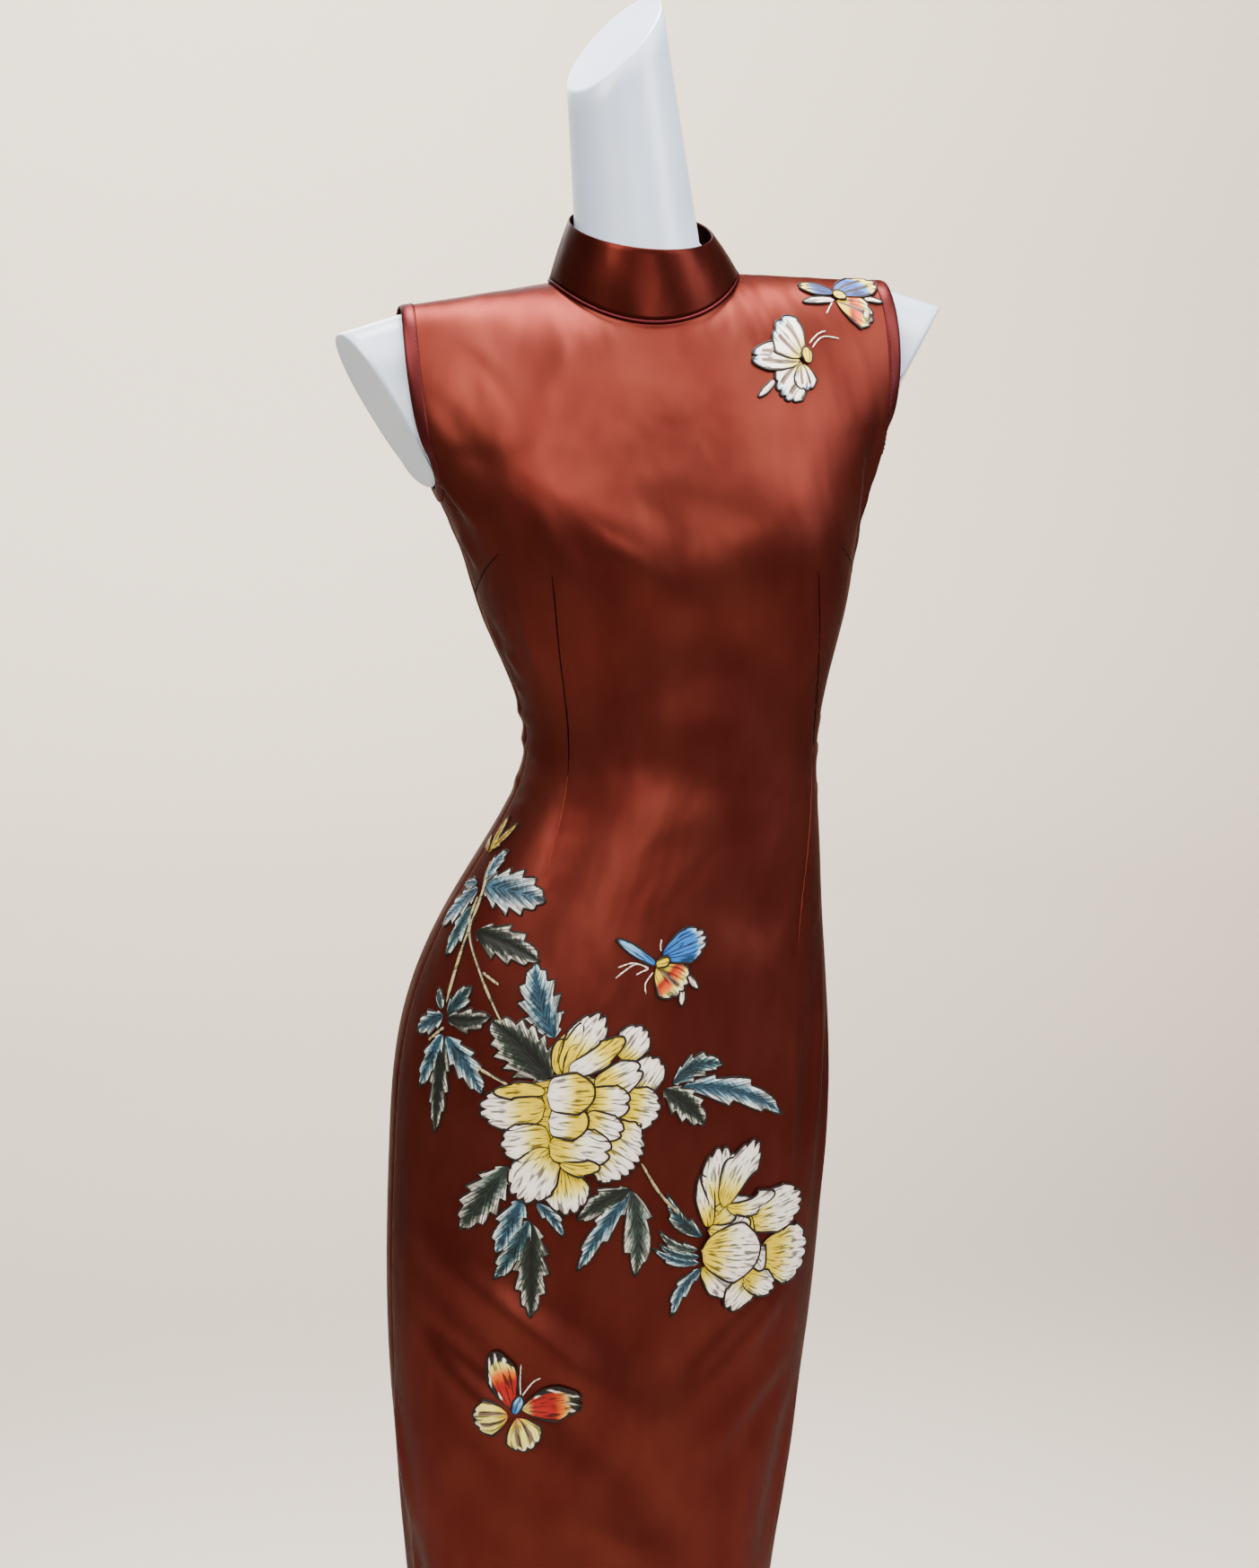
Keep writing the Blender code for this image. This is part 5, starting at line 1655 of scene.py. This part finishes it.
# Butterflies: each part's start, direction, length, half-width, root, scallops, colouring and layer;
# then feelers and legs as lines of places. All in mm.
BUTTERFLIES = (
    (  # cream and orange, on the skirt
        ((-106, 543, 192, 28, 15, 0.2, 4, CREAM_WING, 0.2),
         (-100, 541, 293, 28, 14, 0.2, 4, CREAM_WING, 0.2),
         (-103, 547, 112, 48, 12, 0.15, 1, AMBER_WING, 1.4),
         (-97, 547, 9, 47, 15, 0.15, 2, RED_WING, 1.4),
         (-102, 544, 75, 14, 4, 0.6, 1, BODY_BLUE, 2.8)),
        (((-98, 557), (-99, 568), (-98.5, 583)), ((-97, 557), (-89, 568), (-83, 572.5))),
    ),
    (  # blue, on the hip
        ((14, 886, 313, 16, 2.4, 0.8, 1, TAIL_WHITE, 0),
         (12, 875, 274, 13, 2.4, 0.8, 1, TAIL_WHITE, 0),
         (-11, 893, 322, 31, 15, 0.2, 5, FIERY_WING, 0.2),
         (-8, 901, 21, 36, 14, 0.25, 5, BLUE_WING, 1.4),
         (-12, 895, 148, 39, 3.6, 0.7, 1, BODY_BLUE, 2.2),
         (-12, 895, 20, 11, 4.2, 0.6, 1, BODY_YELLOW, 2.8)),
        (((-17, 893), (-30, 897), (-41, 894)), ((-17, 892), (-28, 896), (-42, 886)),
         ((-17, 892), (-22, 890), (-26, 888)), ((-13, 889), (-18, 881), (-17, 873)),
         ((-9, 905), (-10, 909), (-10, 914))),
    ),
    (  # blue and orange, on the shoulder
        ((188, 1381, 355, 14, 2.4, 0.8, 1, TAIL_WHITE, 0),
         (186, 1374, 245, 14, 2.4, 0.8, 1, TAIL_WHITE, 0),
         (162, 1378, 187, 27, 2.8, 0.8, 1, TAIL_WHITE, 0),
         (163, 1376, 338, 27, 15, 0.25, 4, FIERY_WING, 0.2),
         (166, 1385, 167, 27, 7, 0.3, 2, SUNLIT_WING, 0.4),
         (166, 1384, 26, 43, 12, 0.3, 3, SUNLIT_WING, 1.4),
         (163, 1380, 20, 10, 4.5, 0.6, 1, BODY_YELLOW, 2.8)),
        (((159, 1375), (154, 1370), (149, 1365)),),
    ),
    (  # white, on the chest
        ((82, 1330, 206, 17, 2.6, 0.8, 1, TAIL_WHITE, 0),
         (110, 1335, 213, 30, 15, 0.25, 5, WHITE_WING, 0.1),
         (110, 1334, 262, 17, 10, 0.3, 3, WHITE_WING, 0.4),
         (109, 1336, 157, 44, 10, 0.3, 2, WHITE_WING, 1.2),
         (112, 1338, 112, 28, 17, 0.25, 3, WHITE_WING, 2.2),
         (115, 1333, 80, 10, 4.5, 0.6, 1, BODY_YELLOW, 3.4)),
        (((123, 1345), (133, 1350), (141, 1352)), ((124, 1342), (136, 1348), (150, 1347))),
    ),
)


def embroidery(front, floss, leaf_floss, twist):
    """All the embroidery, laid on the front."""
    flowers = Stitchwork(front)
    for petals, a, h in PEONIES:
        for x, y, *shape, scallops, warmth, layer in petals:
            flowers.petal(a + x, h + y, *shape, scallops, peony_colour(warmth), layer)
    flowers.pieces("peony", floss, twist)
    leaves = Stitchwork(front)
    for leaf in LEAVES:
        leaves.leaf(*leaf)
    for stem in STEMS:
        places = spline_through(stem)
        leaves.line(*places.T, STEM_EDGE, thread_colour("outline_and_shadow"), -0.6, sides=6)
        leaves.line(*places.T, STEM_RADIUS, thread_colour("khaki"), 0.7, STEM_TWIST, sides=8)
    leaves.pieces("leaf", leaf_floss, twist)
    butterflies = Stitchwork(front)
    for parts, feelers in BUTTERFLIES:
        for a, h, direction, length, half_width, root, scallops, colour, layer in parts:
            butterflies.petal(a, h, direction, length, half_width, root, 0, scallops, colour, layer)
        for feeler in feelers:
            butterflies.line(*spline_through(feeler).T, FEELER_RADIUS, thread_colour("white"), 0.3)
    butterflies.pieces("butterfly", floss, twist)


def main():
    """The studio, the dress, its form and its embroidery."""
    place_camera()
    studio_floor()
    light_studio()
    red_satin = satin("red_brown_silk_satin", "#4C201A", "#421814")
    trim_satin = satin("mauve_brown_satin_binding", "#4D2121", "#3C1719")
    dark_satin = satin("dark_satin_piping", "#3A1216", "#280A0E")
    front = Panel("front", -HALF_COLUMNS, HALF_COLUMNS)
    back_left = Panel("back", 0, HALF_COLUMNS)
    back_right = Panel("back", -HALF_COLUMNS, 0)
    panel_cloth("front_cloth", front, "front", red_satin)
    panel_cloth("back_left_cloth", back_left, "back_left", red_satin)
    panel_cloth("back_right_cloth", back_right, "back_right", red_satin)
    # the collar's satin is the dress's own, painted darker for the shade the collar stands in; it is less
    # rough, for a sharper sheen
    collar(satin("collar_satin_painted_shade", "#38130F", "#2C0E0B", roughness=0.32))
    piping(dark_satin)
    binding("left", 1, front, back_left, trim_satin, trim_satin)
    binding("right", -1, front, back_right, trim_satin, trim_satin)
    panels = (front, back_left, back_right)
    # dark cords that paint the shade in the darts' pulled-in upper parts
    dart_seams(panels, "dart_painted_shadow_lines", False, satin("painted_dart_shadow", "#1C0908", "#120504"))
    # lighter cords that paint the highlight on the darts' pressed lower edges
    dart_seams(panels, "dart_painted_highlight_lines", True, satin("painted_dart_highlight", "#6C2E24", "#572219"))
    dress_form(panels, form_gloss())
    stand_base(brushed_steel("turned_brushed_steel", True))
    stand_pole(brushed_steel("drawn_brushed_steel", False))
    floss = embroidery_thread("silk_floss_satin_stitch", 0.55, 0.37, 0.06)
    leaf_floss = embroidery_thread("silk_floss_fishbone_stitch", 0.55, 0.46, 0.06)
    twist = embroidery_thread("twisted_silk_cord", 0.6, 0.38, 0)
    embroidery(front, floss, leaf_floss, twist)


main()
